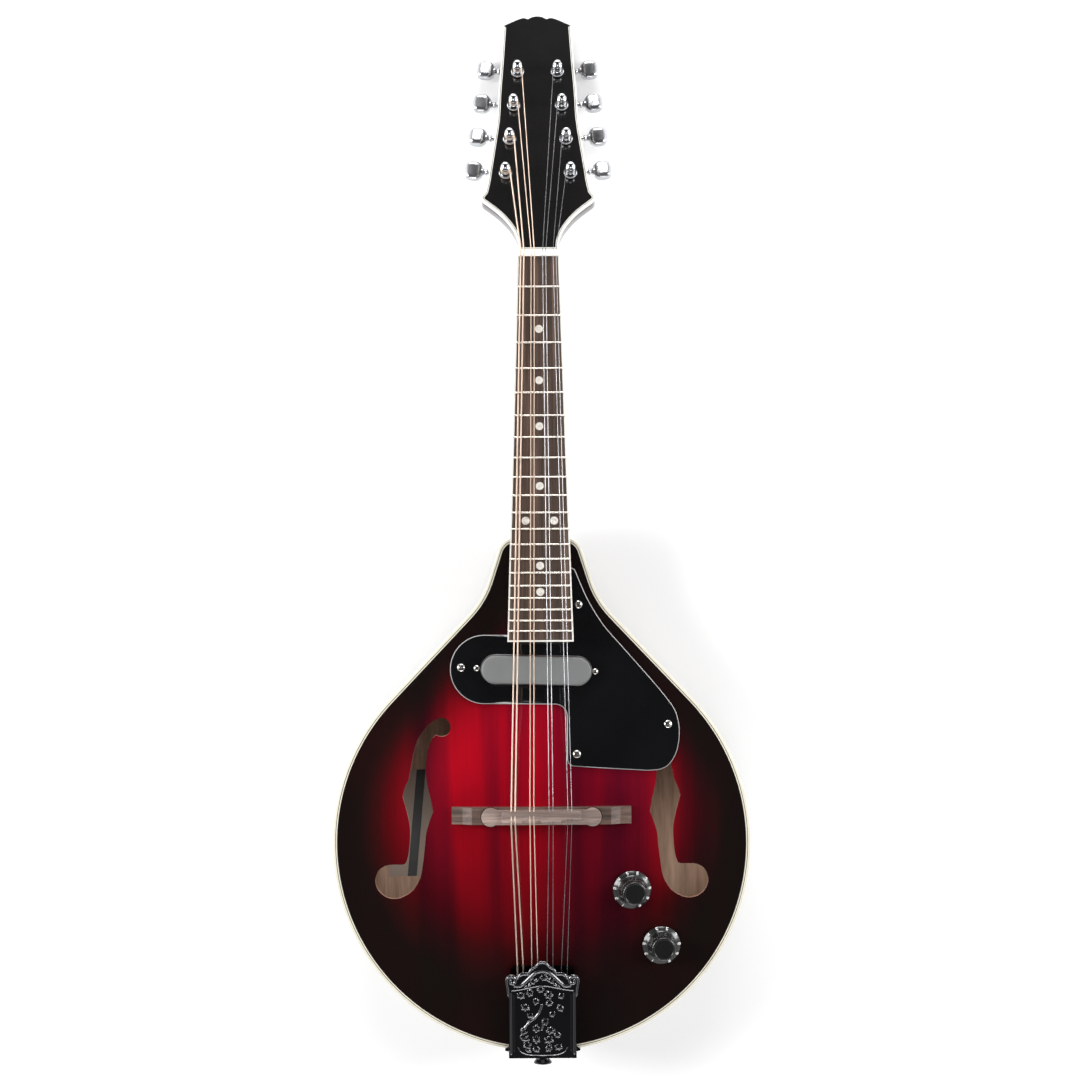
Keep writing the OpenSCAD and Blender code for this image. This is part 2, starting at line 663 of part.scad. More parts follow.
module pickup_plan(d) {
    r = pickup_w / 2;
    for (s = [-1, 1]) translate([s * (pickup_l / 2 - r), 0]) circle(r = r + d, $fn = 48);
    translate([r - pickup_l / 2, -r - d]) square([pickup_l - 2 * r, 2 * r + 2 * d]);
}

module pickguard() {
    color("black") difference() {
        at_body() intersection() {
            over_top(0.1, 0.1 + guard_t);
            translate([0, 0, 50]) linear_extrude(40) polygon(guard_line);
        }
        at_pickup() translate([0, 0, 50]) linear_extrude(40) pickup_plan(0.25);
        at_body() guard_screw_places() translate([0, 0, -5]) cylinder(r = 1.3, h = 12, $fn = 16);
    }
}

module pickguard_screws() {
    color("silver") at_body() guard_screw_places() rotate_extrude($fn = 32)
        polygon([[0, -3.5], [0.9, -2.8], [0.9, 2.5], [2.45, 2.5], [2.3, 3.1], [1.5, 3.7], [0, 3.9]]);
}

module pickup_cover() {
    color("gray") difference() {
        at_pickup() translate([0, 0, 60]) linear_extrude(20) pickup_plan(0);
        at_body() over_top(-30, 0.1);
        at_pickup() translate([0, 0, 60]) linear_extrude(16.8) pickup_plan(-1.4);
        translate([0, body_y + 111.2, 78.6]) rotate([-neck_angle, 0, 0]) translate([-60, -30, 0])
            cube([120, 60, 10]);
    }
}

module pickup_coil() {
    color("brown") intersection() {
        at_pickup() translate([0, 0, 60]) linear_extrude(15.6) pickup_plan(-2.4);
        at_body() over_top(0.2, 20);
    }
}

module knob(k) {
    color("black") at_knob(k) {
        difference() {
            rotate_extrude($fn = 72) polygon([[0, 4.6], [8.6, 4.6], [8.6, 0.9], [knob_d / 2, 0.9],
                [knob_d / 2, 2.2], [knob_d / 2 - 2.2, 3.4], [9, 5], [8.3, 7], [7.9, 12.8], [7.3, 13.8],
                [6.4, 14.1], [0, 14.1]]);
            for (i = [0:23]) rotate([0, 0, i * 15]) translate([8.75, 0, 6.6]) cylinder(r = 0.75, h = 9, $fn = 12);
        }
        translate([0, 0, -10]) cylinder(r = 3, h = 15, $fn = 32);
    }
}

module pot(k) {
    color("gray") at_knob(k) {
        rotate_extrude($fn = 48) polygon([[3.06, -5.2], [8.4, -5.2], [8.4, -13.4], [0, -13.4], [0, -12.4],
            [3.06, -12.4]]);
        rotate_extrude($fn = 48) polygon([[3.06, -5.6], [4.4, -5.6], [4.4, 0.5], [6.4, 0.5], [6.4, 2.2], [4.4, 2.2],
            [4.4, 3.6], [3.06, 3.6]]);
    }
}

module output_jack() {
    color("silver") at_jack() difference() {
        union() {
            translate([0, 0, -8]) cylinder(r = 4.7, h = 9, $fn = 48);
            translate([0, 0, 0.05]) cylinder(r = 7.2, h = 1.6, $fn = 48);
            cylinder(r = 5.4, h = 2.9, $fn = 6);
            translate([-6.5, -7, -24]) cube([13, 14, 20.6]);
        }
        translate([0, 0, -17]) cylinder(r = 3.2, h = 30, $fn = 48);
    }
}

// ---- strings ----

// Where string i turns: loop, saddle, nut front, nut back and post.
function string_points(i) =
    let (
        side = i < 4 ? -1 : 1,
        k = i < 4 ? i : 7 - i,
        px = post_x - k * post_pitch * sin(column_angle) - 2.4 - gauge_r[i],
        py = post_y + k * post_pitch * cos(column_angle)
    )
    [tail_point(hook_x[i], 42.03 + 2 * gauge_r[i], 1.9),
        [saddle_x[i], body_y + saddle_y[i], string_z],
        neck_point(nut_x[i], 0.4, 1.45),
        neck_point(nut_x[i], 4.3, 0.75),
        head_point(side * px, py, 6.6)];

// Round bar of radius r along the points p, which all run towards the headstock.
module bar(p, r) {
    sides = 12;
    n = len(p);
    polyhedron(
        points = [for (q = p, k = [0:sides - 1]) q + r * [cos(360 * k / sides), 0, sin(360 * k / sides)]],
        faces = concat(
            [[for (k = [sides - 1:-1:0]) k]],
            [[for (k = [0:sides - 1]) (n - 1) * sides + k]],
            [for (j = [0:n - 2], k = [0:sides - 1])
                [j * sides + k, j * sides + (k + 1) % sides, (j + 1) * sides + (k + 1) % sides]],
            [for (j = [0:n - 2], k = [0:sides - 1])
                [j * sides + k, (j + 1) * sides + (k + 1) % sides, (j + 1) * sides + k]]));
}

// Clears string i around its turning points from one to another, with 7 mm of lead on both sides.
module groove(i, from, to) {
    p = string_points(i);
    bar(concat([p[from] + 7 * unit(p[from - 1] - p[from])], [for (k = [from:to]) p[k]],
        [p[to] + 7 * unit(p[to + 1] - p[to])]), gauge_r[i] + 0.08);
}

module string_rings(i) {
    side = i < 4 ? -1 : 1;
    k = i < 4 ? i : 7 - i;
    r = gauge_r[i];
    at_tail() translate([hook_x[i], 41, 1.9]) rotate_extrude($fn = 40) translate([1 + r, 0]) circle(r = r, $fn = 20);
    at_column(side) for (z = [-2.2, 2.2]) translate([0, k * post_pitch, 6.6 + z * r])
        rotate_extrude($fn = 40) translate([2.42 + r, 0]) circle(r = r, $fn = 20);
}

module strings(pair, tint) {
    color(tint) for (i = pair) {
        bar(string_points(i), gauge_r[i]);
        string_rings(i);
    }
}

soundboard();
back_plate();
rim();
kerfed_linings();
neck_block();
tail_block();
tone_bars();
top_binding();
back_binding();
inner_label();
neck();
truss_rod();
headstock_overlay();
headstock_binding();
fingerboard();
fingerboard_binding();
frets();
position_dots();
nut();
tuner_plates();
tuner_bushings();
tuner_screws();
bridge_base();
bridge_posts();
bridge_saddle();
thumbwheel(-1);  // thumbwheel_bass
thumbwheel(1);  // thumbwheel_treble
tailpiece_base();
tailpiece_cover();
tailpiece_screws();
strap_button();
pickguard();
pickguard_screws();
pickup_cover();
pickup_coil();
knob(0);  // volume_knob
knob(1);  // tone_knob
pot(0);  // volume_pot
pot(1);  // tone_pot
output_jack();
strings([0, 1], "goldenrod");  // strings_g
strings([2, 3], "goldenrod");  // strings_d
strings([4, 5], "silver");  // strings_a
strings([6, 7], "silver");  // strings_e
tuner_knob(-1, 0);  // tuner_knob_b1
tuner_knob(-1, 1);  // tuner_knob_b2
tuner_knob(-1, 2);  // tuner_knob_b3
tuner_knob(-1, 3);  // tuner_knob_b4
tuner_knob(1, 0);  // tuner_knob_t1
tuner_knob(1, 1);  // tuner_knob_t2
tuner_knob(1, 2);  // tuner_knob_t3
tuner_knob(1, 3);  // tuner_knob_t4
string_post(-1, 0);  // string_post_b1
string_post(-1, 1);  // string_post_b2
string_post(-1, 2);  // string_post_b3
string_post(-1, 3);  // string_post_b4
string_post(1, 0);  // string_post_t1
string_post(1, 1);  // string_post_t2
string_post(1, 2);  // string_post_t3
string_post(1, 3);  // string_post_t4
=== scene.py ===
import math

import bpy
import bmesh
import numpy as np
from mathutils import Matrix, Vector
from mathutils.geometry import delaunay_2d_cdt


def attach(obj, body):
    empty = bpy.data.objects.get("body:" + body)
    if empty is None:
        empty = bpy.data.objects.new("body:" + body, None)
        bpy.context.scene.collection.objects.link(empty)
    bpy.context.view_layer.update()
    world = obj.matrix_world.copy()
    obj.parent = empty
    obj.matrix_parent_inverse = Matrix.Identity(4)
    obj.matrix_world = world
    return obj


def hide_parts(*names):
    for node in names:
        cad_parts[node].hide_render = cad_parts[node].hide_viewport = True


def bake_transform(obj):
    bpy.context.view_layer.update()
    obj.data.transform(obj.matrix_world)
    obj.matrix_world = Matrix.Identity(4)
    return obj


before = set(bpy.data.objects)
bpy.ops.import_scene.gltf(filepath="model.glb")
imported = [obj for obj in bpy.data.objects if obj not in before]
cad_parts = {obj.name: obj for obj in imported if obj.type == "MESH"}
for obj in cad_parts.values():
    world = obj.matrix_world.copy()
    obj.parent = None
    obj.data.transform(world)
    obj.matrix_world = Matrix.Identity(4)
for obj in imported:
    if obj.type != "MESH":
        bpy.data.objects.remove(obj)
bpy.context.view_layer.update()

# Lengths are millimetres and angles degrees in the part's own frame; build() turns lengths into metres.

BODY_Y = -197.0
BOUT_R = 134.2
EDGE_Z = 66.0
RIM_Z = 19.0
END_Y = 195.8
NUT_Y = 180.0
NUT_Z = 64.0
BOARD_T = 5.5
HEAD_T = 13.3
NECK_TILT = 4.4
HEAD_TILT = 16.25
TAIL_TILT = 9
COLUMN_LEAN = 6.28
FACING_Z = -3.6
SCALE_LENGTH = 352
FRET_COUNT = 20
RIM_TOP = 62
BACK_Z = 15
SADDLE_MIDDLE = 19
PICKUP_SIZE = (70, 17.6)
PICKUP_POINTS = 50
POST = (21.1, 54.5)
POST_PITCH = 24.4
ROOT = "mandolin"


# ---- places ----

def turn(axis, degrees):
    return Matrix.Rotation(math.radians(degrees), 4, axis)


def shift(x, y, z):
    return Matrix.Translation((x, y, z))


AT_BODY = shift(0, BODY_Y, 0)
AT_NECK = shift(0, NUT_Y, NUT_Z) @ turn("X", -NECK_TILT)
AT_HEAD = AT_NECK @ shift(0, 4.2, FACING_Z) @ turn("X", NECK_TILT - HEAD_TILT)
AT_TAIL = shift(0, BODY_Y - BOUT_R - 0.2, EDGE_Z + 0.4) @ turn("X", TAIL_TILT)


def at_column(side):
    flip = Matrix.Diagonal((side, 1, 1, 1))
    return AT_HEAD @ flip @ shift(POST[0], POST[1], 0) @ turn("Z", COLUMN_LEAN)


def put(matrix, points):
    p = np.asarray(points, float).reshape(-1, 3)
    m = np.array(matrix)
    return p @ m[:3, :3].T + m[:3, 3]


# ---- outlines ----

def arc(cx, cy, r, a0, a1, n):
    a = np.radians(np.linspace(a0, a1, n + 1))
    return np.stack([cx + r * np.cos(a), cy + r * np.sin(a)], 1)


def unit(v):
    return v / np.linalg.norm(v)


def fillet(p, q, s, r, n):
    """An arc of radius r that rounds the corner q between p and s."""
    p, q, s = (np.array(v, float) for v in (p, q, s))
    u, v = unit(p - q), unit(s - q)
    half = math.acos(u @ v) / 2
    c = q + unit(u + v) * r / math.sin(half)
    a = q + u * r / math.tan(half) - c
    b = q + v * r / math.tan(half) - c
    a0 = math.atan2(a[1], a[0])
    w = (math.atan2(b[1], b[0]) - a0 + math.pi) % (2 * math.pi) - math.pi
    turns = [a0 + w * i / n for i in range(n + 1)]
    return np.array([c + r * np.array([math.cos(t), math.sin(t)]) for t in turns])


def curve(points, n):
    """A smooth line through the points, n steps between each two."""
    p = np.array(points, float)
    out = []
    for i in range(len(p) - 1):
        a, b, c, d = p[max(i - 1, 0)], p[i], p[i + 1], p[min(i + 2, len(p) - 1)]
        for k in range(n):
            t = k / n
            out.append((2 * b + (c - a) * t + (2 * a - 5 * b + 4 * c - d) * t * t
                        + (3 * b - a - 3 * c + d) * t ** 3) / 2)
    out.append(p[-1])
    return np.array(out)


def mirrored(p):
    return p[::-1] * np.array([-1, 1])


def inset(p, d):
    """A closed outline moved inwards by d."""
    p = np.asarray(p, float)
    u = p - np.roll(p, 1, 0)
    v = np.roll(p, -1, 0) - p
    u /= np.linalg.norm(u, axis=1)[:, None]
    v /= np.linalg.norm(v, axis=1)[:, None]
    m = u + v
    return p + d * np.stack([-m[:, 1], m[:, 0]], 1) * 2 / (m * m).sum(1)[:, None]


def level(line, d, z):
    """The outline inset by d, laid at height z."""
    return np.column_stack([inset(line, d), np.full(len(line), z)])


def around(n):
    """n even angles round a full turn."""
    return np.linspace(0, 2 * math.pi, n, endpoint=False)


def thin(p, gap):
    """Drops points that lie closer than gap to the one kept before them."""
    keep = [p[0]]
    for q in p[1:]:
        if np.linalg.norm(q - keep[-1]) > gap:
            keep.append(q)
    if np.linalg.norm(keep[-1] - keep[0]) < gap:
        keep.pop()
    return np.array(keep)


WAIST = (37, 156.2)
SHOULDER = (24.3, END_Y)
side_line = np.concatenate([
    arc(0, 0, BOUT_R, -89.2, 43.4, 110),
    fillet((97.5, 92.2), WAIST, SHOULDER, 60, 16),
    fillet(WAIST, SHOULDER, (0, END_Y), 12, 10)])
BODY_LINE = thin(np.concatenate([[[0, -BOUT_R]], side_line, mirrored(side_line)]), 0.05)

head_side = np.concatenate([
    curve([(12.9, 0.6), (13.2, 6.7), (15.5, 13.6), (20, 20.6), (26.5, 27.6), (35.6, 34.9)], 6),
    [(36.5, 36.1), (36.9, 37.2), (36.8, 38.2)],
    curve([(34.3, 41.7), (32.6, 50), (30.8, 63), (26.8, 91.5), (25.6, 113), (24, 135), (22.4, 161)], 6),
    curve([(14, 165.2), (10.5, 166.5), (8.4, 166.7), (6.2, 165.9)], 4),
    curve([(3.4, 167.5), (0.8, 168)], 4)])
HEAD_LINE = thin(np.concatenate([head_side, mirrored(head_side)]), 0.05)

HOLE_LINE = np.concatenate([
    arc(-63.9, 74.8, 6, -125, 125, 30),
    curve([(-71.4, 76.9), (-75.2, 73.1), (-78.5, 67.7), (-81, 61), (-82.7, 53.5), (-84, 46.3),
           (-85.2, 40.9), (-87.3, 36.3), (-89, 30.6)], 4),
    curve([(-87.4, 25), (-85.7, 18.3), (-84.4, 11), (-84.4, 3.2), (-85.2, -5.2), (-86.5, -10.6),
           (-88.8, -13.1), (-97.8, -13.5), (-104.2, -16.6), (-106.9, -23.3), (-105.6, -29), (-102.2, -33),
           (-97.4, -35.2), (-92.2, -35.2), (-87.3, -33.2), (-82.9, -30), (-79.6, -25.3), (-77.3, -20),
           (-76, -11.9), (-74.8, -2.7), (-73.9, 6.6), (-72.2, 13), (-69.3, 20.8)], 4),
    curve([(-70.6, 28.3), (-72.3, 35), (-73.5, 41.7), (-73.9, 48.4), (-73.3, 56), (-71.8, 62.7),
           (-69.6, 67.9)], 4)])

GUARD_LINE = thin(np.concatenate([
    arc(-36.2, 111.7, 22, 90, 270, 60),
    fillet((-36, 89.7), (16.5, 89.3), (16.5, 50), 7.5, 12),
    fillet((16.5, 89), (16.5, 50.3), (68, 46.6), 5, 12),
    curve([(68, 46.6), (76, 47.2), (81.9, 50.3), (86.9, 58.4), (88.9, 71), (86.8, 83.3), (80.6, 93.1),
           (68.5, 107.7), (51.5, 127.1), (40.6, 139.8), (30.5, 156.3), (23, 173.7)], 8),
    [(22.2, 175.4), (20.6, 176.4), (16.8, 176.4), (16.8, 133.7)]]), 0.05)


def stadium(l, w, n=24):
    r = w / 2
    return np.concatenate([arc(l / 2 - r, 0, r, -90, 90, n), arc(r - l / 2, 0, r, 90, 270, n)])


# ---- arched surfaces ----

class Arch:
    """The arched surface over an outline: its height at any x, y measured from the body's centre."""

    def __init__(self, line, c, z0, h):
        self.c, self.z0, self.h = np.array(c, float), z0, h
        p = line - self.c
        a, d = np.arctan2(p[:, 1], p[:, 0]), np.hypot(p[:, 0], p[:, 1])
        o = np.argsort(a)
        a, d = a[o], d[o]
        self.a = np.concatenate([a - 2 * math.pi, a, a + 2 * math.pi])
        self.d = np.concatenate([d, d, d])

    def share(self, x, y):
        """0 at the middle, with round contours there, and 1 at the edge, with the outline's shape."""
        x, y = np.asarray(x, float), np.asarray(y, float)
        rho = np.hypot(x - self.c[0], y - self.c[1])
        reach = np.interp(np.arctan2(y - self.c[1], x - self.c[0]), self.a, self.d)
        lo, hi = np.zeros_like(rho), np.ones_like(rho)
        for _ in range(30):
            m = (lo + hi) / 2
            under = m * (BOUT_R + (reach - BOUT_R) * m * m) < rho
            lo, hi = np.where(under, m, lo), np.where(under, hi, m)
        return (lo + hi) / 2

    def z(self, x, y):
        return self.z0 + self.h * (1 + np.cos(np.pi * self.share(x, y) ** 1.3)) / 2


TOP = Arch(inset(BODY_LINE, 3.1), (0, SADDLE_MIDDLE), EDGE_Z, 12.5)
BACK = Arch(inset(BODY_LINE, 1.6), (0, 0), BACK_Z, -BACK_Z)


# ---- mesh making ----

def build(name, verts, faces, mats, body=ROOT, index=None, sharp=35, replaces=(), slot=None):
    me = bpy.data.meshes.new(name)
    me.from_pydata([tuple(v) for v in np.asarray(verts, float) * 0.001], [],
                   [tuple(int(i) for i in f) for f in faces])
    for m in mats if isinstance(mats, (list, tuple)) else [mats]:
        me.materials.append(m)
    if index is not None:
        me.polygons.foreach_set("material_index", np.asarray(index, np.int32))
    bm = bmesh.new()
    bm.from_mesh(me)
    bmesh.ops.remove_doubles(bm, verts=bm.verts, dist=1e-6)
    bmesh.ops.recalc_face_normals(bm, faces=bm.faces)
    bm.to_mesh(me)
    bm.free()
    me.polygons.foreach_set("use_smooth", np.ones(len(me.polygons), bool))
    me.set_sharp_from_angle(angle=math.radians(sharp))
    ob = bpy.data.objects.new(name, me)
    bpy.context.scene.collection.objects.link(ob)
    if body:
        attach(ob, body)
    if replaces:
        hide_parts(*replaces)
    return ob


def cut(ob, cutter):
    """Subtracts cutter from ob for good."""
    mod = ob.modifiers.new("cut", "BOOLEAN")
    mod.operation = "DIFFERENCE"
    mod.solver = "EXACT"
    mod.object = cutter
    bpy.context.view_layer.update()
    done = bpy.data.meshes.new_from_object(ob.evaluated_get(bpy.context.evaluated_depsgraph_get()))
    ob.modifiers.clear()
    ob.data = done
    bpy.data.objects.remove(cutter)
    return ob


class Shape:
    """Collects points and faces, each batch placed by a matrix."""

    def __init__(self):
        self.v, self.f, self.m = [], [], []

    def add(self, verts, faces, matrix=None, mat=0):
        base = len(self.v)
        self.v += list(put(matrix, verts) if matrix is not None else np.asarray(verts, float))
        self.f += [[base + i for i in f] for f in faces]
        self.m += [mat] * len(faces) if np.isscalar(mat) else list(mat)
        return self

    def build(self, name, mats, **more):
        return build(name, self.v, self.f, mats, index=self.m, **more)


def loft(rows, closed=True, caps=True, loop=False):
    """Faces between rows of equally many points. closed joins a row's ends, loop the last row to the first."""
    rows = [np.asarray(r, float) for r in rows]
    n, k = len(rows[0]), len(rows)
    v = np.concatenate(rows)
    f = []
    for j in range(k if loop else k - 1):
        for i in range(n if closed else n - 1):
            a, b = j * n + i, j * n + (i + 1) % n
            c, d = ((j + 1) % k) * n + (i + 1) % n, ((j + 1) % k) * n + i
            f.append([a, b, c, d])
    if caps and not loop:
        f.append(list(range(n))[::-1])
        f.append([(k - 1) * n + i for i in range(n)])
    return v, f


def lathe(profile, n=48):
    """Turns (r, z) points about Z. Points on the axis close the shape."""
    v, f, rows = [], [], []
    for r, z in profile:
        if r < 1e-6:
            rows.append([len(v)])
            v.append((0, 0, z))
        else:
            rows.append(list(range(len(v), len(v) + n)))
            v += [(r * math.cos(2 * math.pi * i / n), r * math.sin(2 * math.pi * i / n), z) for i in range(n)]
    for a, b in zip(rows, rows[1:]):
        for i in range(n):
            j = (i + 1) % n
            q = [a[i % len(a)], a[j % len(a)], b[j % len(b)], b[i % len(b)]]
            f.append(list(dict.fromkeys(q)))
    return np.array(v), [q for q in f if len(q) > 2]


def inside(points, loops):
    """True where a point is inside an odd number of the loops."""
    hit = np.zeros(len(points), bool)
    x, y = points[:, 0], points[:, 1]
    for loop in loops:
        a, b = loop, np.roll(loop, -1, 0)
        for (x0, y0), (x1, y1) in zip(a, b):
            if y0 != y1:
                hit ^= ((y0 > y) != (y1 > y)) & (x < (x1 - x0) * (y - y0) / (y1 - y0) + x0)
    return hit


def near(points, loops, gap):
    """True where a point is closer than gap to a point of the loops."""
    p = np.concatenate(loops)
    out = np.zeros(len(points), bool)
    for i in range(0, len(points), 2000):
        d = points[i:i + 2000, None, :] - p[None, :, :]
        out[i:i + 2000] = ((d * d).sum(2) < gap * gap).any(1)
    return out


def fill(loops, step, extra=(), gap=0.45):
    """Triangles over the area between the loops, with extra loops kept as edges inside it."""
    every = list(loops) + list(extra)
    p = np.concatenate(loops)
    lo, hi = p.min(0), p.max(0)
    xs, ys = np.arange(lo[0], hi[0], step), np.arange(lo[1], hi[1], step * 0.866)
    gx, gy = np.meshgrid(xs, ys)
    gx = gx + (np.arange(len(ys)) % 2)[:, None] * step / 2
    g = np.stack([gx.ravel(), gy.ravel()], 1)
    g = g[inside(g, loops)]
    g = g[~near(g, every, step * gap)]
    verts = np.concatenate(every + [g])
    edges, base = [], 0
    for loop in every:
        edges += [(base + i, base + (i + 1) % len(loop)) for i in range(len(loop))]
        base += len(loop)
    got = delaunay_2d_cdt([Vector(q) for q in verts], edges, [], 0, 1e-7)
    v = np.array([tuple(q) for q in got[0]])
    t = np.array([list(q) for q in got[2]])
    return v, t[inside(v[t].mean(1), loops)]


def plate(loops, step, top, bottom, edge=0.0, drop=0.0, place=None):
    """A sheet between two heights over an area, its upper edge cut off by edge across and drop down.
    Material indices: 0 top, 1 bottom, 2 walls, 3 the cut edge."""
    rows = [inset(loop, edge) for loop in loops] if edge else []
    v, t = fill(loops, step, rows)
    z = top(v[:, 0], v[:, 1])
    index = np.zeros(len(t), int)
    if edge:
        z = z - drop * near(v, loops, 1e-4)
        index = np.where(inside(v[t].mean(1), rows), 0, 3)
    shape = Shape().add(np.column_stack([v, z]), t, place, index)
    shape.add(np.column_stack([v, bottom(v[:, 0], v[:, 1])]), t[:, ::-1], place, 1)
    for loop in loops:
        a = np.column_stack([loop, top(loop[:, 0], loop[:, 1]) - drop])
        b = np.column_stack([loop, bottom(loop[:, 0], loop[:, 1])])
        w, f = loft([a, b], caps=False)
        shape.add(w, f, place, 2)
    return shape


def sweep(line, profile, mats, name, **more):
    """A strip round a closed outline. profile is (inset, z, material of the face to the next point)."""
    rows = [level(line, d, z) for d, z, _ in profile]
    v, f = loft(rows, loop=True)
    index = np.repeat([m for _, _, m in profile], len(line))
    return Shape().add(v, f, more.pop("place", None), index).build(name, mats, **more)


def tube(path, r, sides=12, caps=True):
    """A round bar of radius r (a number, or one per point) along a path."""
    p = np.asarray(path, float)
    r = np.broadcast_to(r, len(p))
    t = np.gradient(p, axis=0)
    t /= np.linalg.norm(t, axis=1)[:, None]
    u = np.cross(t[0], [0, 0, 1] if abs(t[0][2]) < 0.9 else [1, 0, 0])
    u /= np.linalg.norm(u)
    rows = []
    for q, d, s in zip(p, t, r):
        u = u - d * (u @ d)
        u /= np.linalg.norm(u)
        w = np.cross(d, u)
        a = around(sides)
        rows.append(q + s * (np.cos(a)[:, None] * u + np.sin(a)[:, None] * w))
    return loft(rows, caps=caps)


# ---- materials ----

class Paint:
    """A Principled material and its node tree. Textures follow the object's own coordinates, in metres."""

    def __init__(self, name, color=(0.5, 0.5, 0.5), **sockets):
        self.mat = bpy.data.materials.new(name)
        self.mat.use_nodes = True
        self.tree = self.mat.node_tree
        self.out = self.tree.nodes["Principled BSDF"]
        self.out.inputs["Base Color"].default_value = (*color, 1)
        for k, v in sockets.items():
            self.out.inputs[k.replace("_", " ")].default_value = v
        self.pos = self.node("ShaderNodeTexCoord").outputs["Object"]

    def node(self, kind, inputs=None, **props):
        n = self.tree.nodes.new(kind)
        for k, v in props.items():
            setattr(n, k, v)
        for k, v in (inputs or {}).items():
            if isinstance(v, bpy.types.NodeSocket):
                self.tree.links.new(v, n.inputs[k])
            else:
                n.inputs[k].default_value = v
        return n

    def scaled(self, x, y, z):
        return self.node("ShaderNodeMapping", {"Vector": self.pos, "Scale": (x, y, z)}).outputs[0]

    def noise(self, scale=1.0, detail=3.0, rough=0.5, vector=None, warp=0.0):
        return self.node("ShaderNodeTexNoise", {"Vector": vector or self.pos, "Scale": scale,
                                                "Detail": detail, "Roughness": rough,
                                                "Distortion": warp}).outputs["Fac"]

    def ramp(self, fac, *stops):
        n = self.node("ShaderNodeValToRGB", {"Fac": fac})
        e = n.color_ramp.elements
        while len(e) > 1:
            e.remove(e[-1])
        e[0].position, e[0].color = stops[0][0], self.rgba(stops[0][1])
        for at, c in stops[1:]:
            e.new(at).color = self.rgba(c)
        return n.outputs[0]

    @staticmethod
    def rgba(c):
        return (c, c, c, 1) if np.isscalar(c) else (*c, 1)

    def mix(self, fac, a, b, mode="MIX"):
        n = self.node("ShaderNodeMix", {"Factor": fac}, data_type="RGBA", blend_type=mode)
        for k, v in (("A", a), ("B", b)):
            s = [i for i in n.inputs if i.name == k and i.type == "RGBA"][0]
            if isinstance(v, bpy.types.NodeSocket):
                self.tree.links.new(v, s)
            else:
                s.default_value = self.rgba(v)
        return [o for o in n.outputs if o.type == "RGBA"][0]

    def math(self, op, a, b=0.0):
        return self.node("ShaderNodeMath", {0: a, 1: b}, operation=op).outputs[0]

    def attribute(self, name):
        return self.node("ShaderNodeAttribute", attribute_name=name).outputs["Fac"]

    def color(self, socket):
        self.tree.links.new(socket, self.out.inputs["Base Color"])
        return self

    def rough(self, fac, lo, hi):
        n = self.node("ShaderNodeMapRange", {"Value": fac, "To Min": lo, "To Max": hi})
        self.tree.links.new(n.outputs[0], self.out.inputs["Roughness"])
        return self

    def bump(self, height, strength, depth=0.0001):
        n = self.node("ShaderNodeBump", {"Height": height, "Strength": strength, "Distance": depth})
        self.tree.links.new(n.outputs[0], self.out.inputs["Normal"])
        return self


LACQUER = {"Coat_Weight": 1.0, "Roughness": 0.5, "Specular_IOR_Level": 0.04}


def lacquer_top():
    p = Paint("burst_lacquer", Coat_Roughness=0.03, **LACQUER)
    bands = p.noise(1.0, 2.0, 0.45, p.scaled(-31, 1.6, 1), 0.15)
    stain = p.ramp(bands, (0.36, (0.100, 0.0004, 0.012)), (0.5, (0.20, 0.0006, 0.012)),
                   (0.62, (0.36, 0.0008, 0.011)))
    grain = p.noise(1.0, 4.0, 0.6, p.scaled(1400, 22, 22))
    stain = p.mix(0.25, stain, p.ramp(grain, (0.35, 0.0), (0.65, (0.5, 0.001, 0.01))), "SOFT_LIGHT")
    lit = p.math("ADD", p.attribute("lit"), p.math("MULTIPLY", p.math("SUBTRACT", p.noise(13, 2.0), 0.5),
                                                   0.10))
    shade = p.ramp(lit, (0.0, (0.006, 0.02, 0.02)), (0.15, (0.10, 0.10, 0.12)), (0.4, (0.34, 0.3, 0.36)),
                   (1.0, 1.0))
    edge = p.ramp(lit, (0.0, (0.0042, 0.0026, 0.0020)), (0.3, 0.0))
    p.color(p.mix(1.0, p.mix(1.0, stain, shade, "MULTIPLY"), edge, "ADD"))
    p.bump(p.noise(60, 3.0), 0.02, 0.0004)
    return p.mat


def lacquer_dark(name, lit, deep, along):
    p = Paint(name, Coat_Roughness=0.035, **LACQUER)
    bands = p.noise(1.0, 3.0, 0.5, p.scaled(*along), 0.2)
    grain = p.noise(1.0, 5.0, 0.6, p.scaled(*(40 * a for a in along)))
    c = p.ramp(bands, (0.35, deep), (0.68, lit))
    p.color(p.mix(0.35, c, p.ramp(grain, (0.35, 0.2), (0.7, 0.7)), "OVERLAY"))
    p.bump(p.noise(60, 3.0), 0.02, 0.0004)
    return p.mat


def lacquer_back():
    p = Paint("back_lacquer", Coat_Roughness=0.03, **LACQUER)
    bands = p.noise(1.0, 2.0, 0.5, p.scaled(2.2, 36, 1), 0.3)
    stain = p.ramp(bands, (0.34, (0.05, 0.0006, 0.004)), (0.64, (0.17, 0.002, 0.006)))
    grain = p.noise(1.0, 4.0, 0.6, p.scaled(900, 20, 20))
    stain = p.mix(0.3, stain, p.ramp(grain, (0.35, 0.1), (0.65, 0.7)), "SOFT_LIGHT")
    shade = p.ramp(p.attribute("burst"), (0.0, 1.0), (0.45, 0.55), (0.75, 0.12), (0.95, 0.03))
    p.color(p.mix(1.0, stain, shade, "MULTIPLY"))
    p.bump(p.noise(60, 3.0), 0.02, 0.0004)
    return p.mat


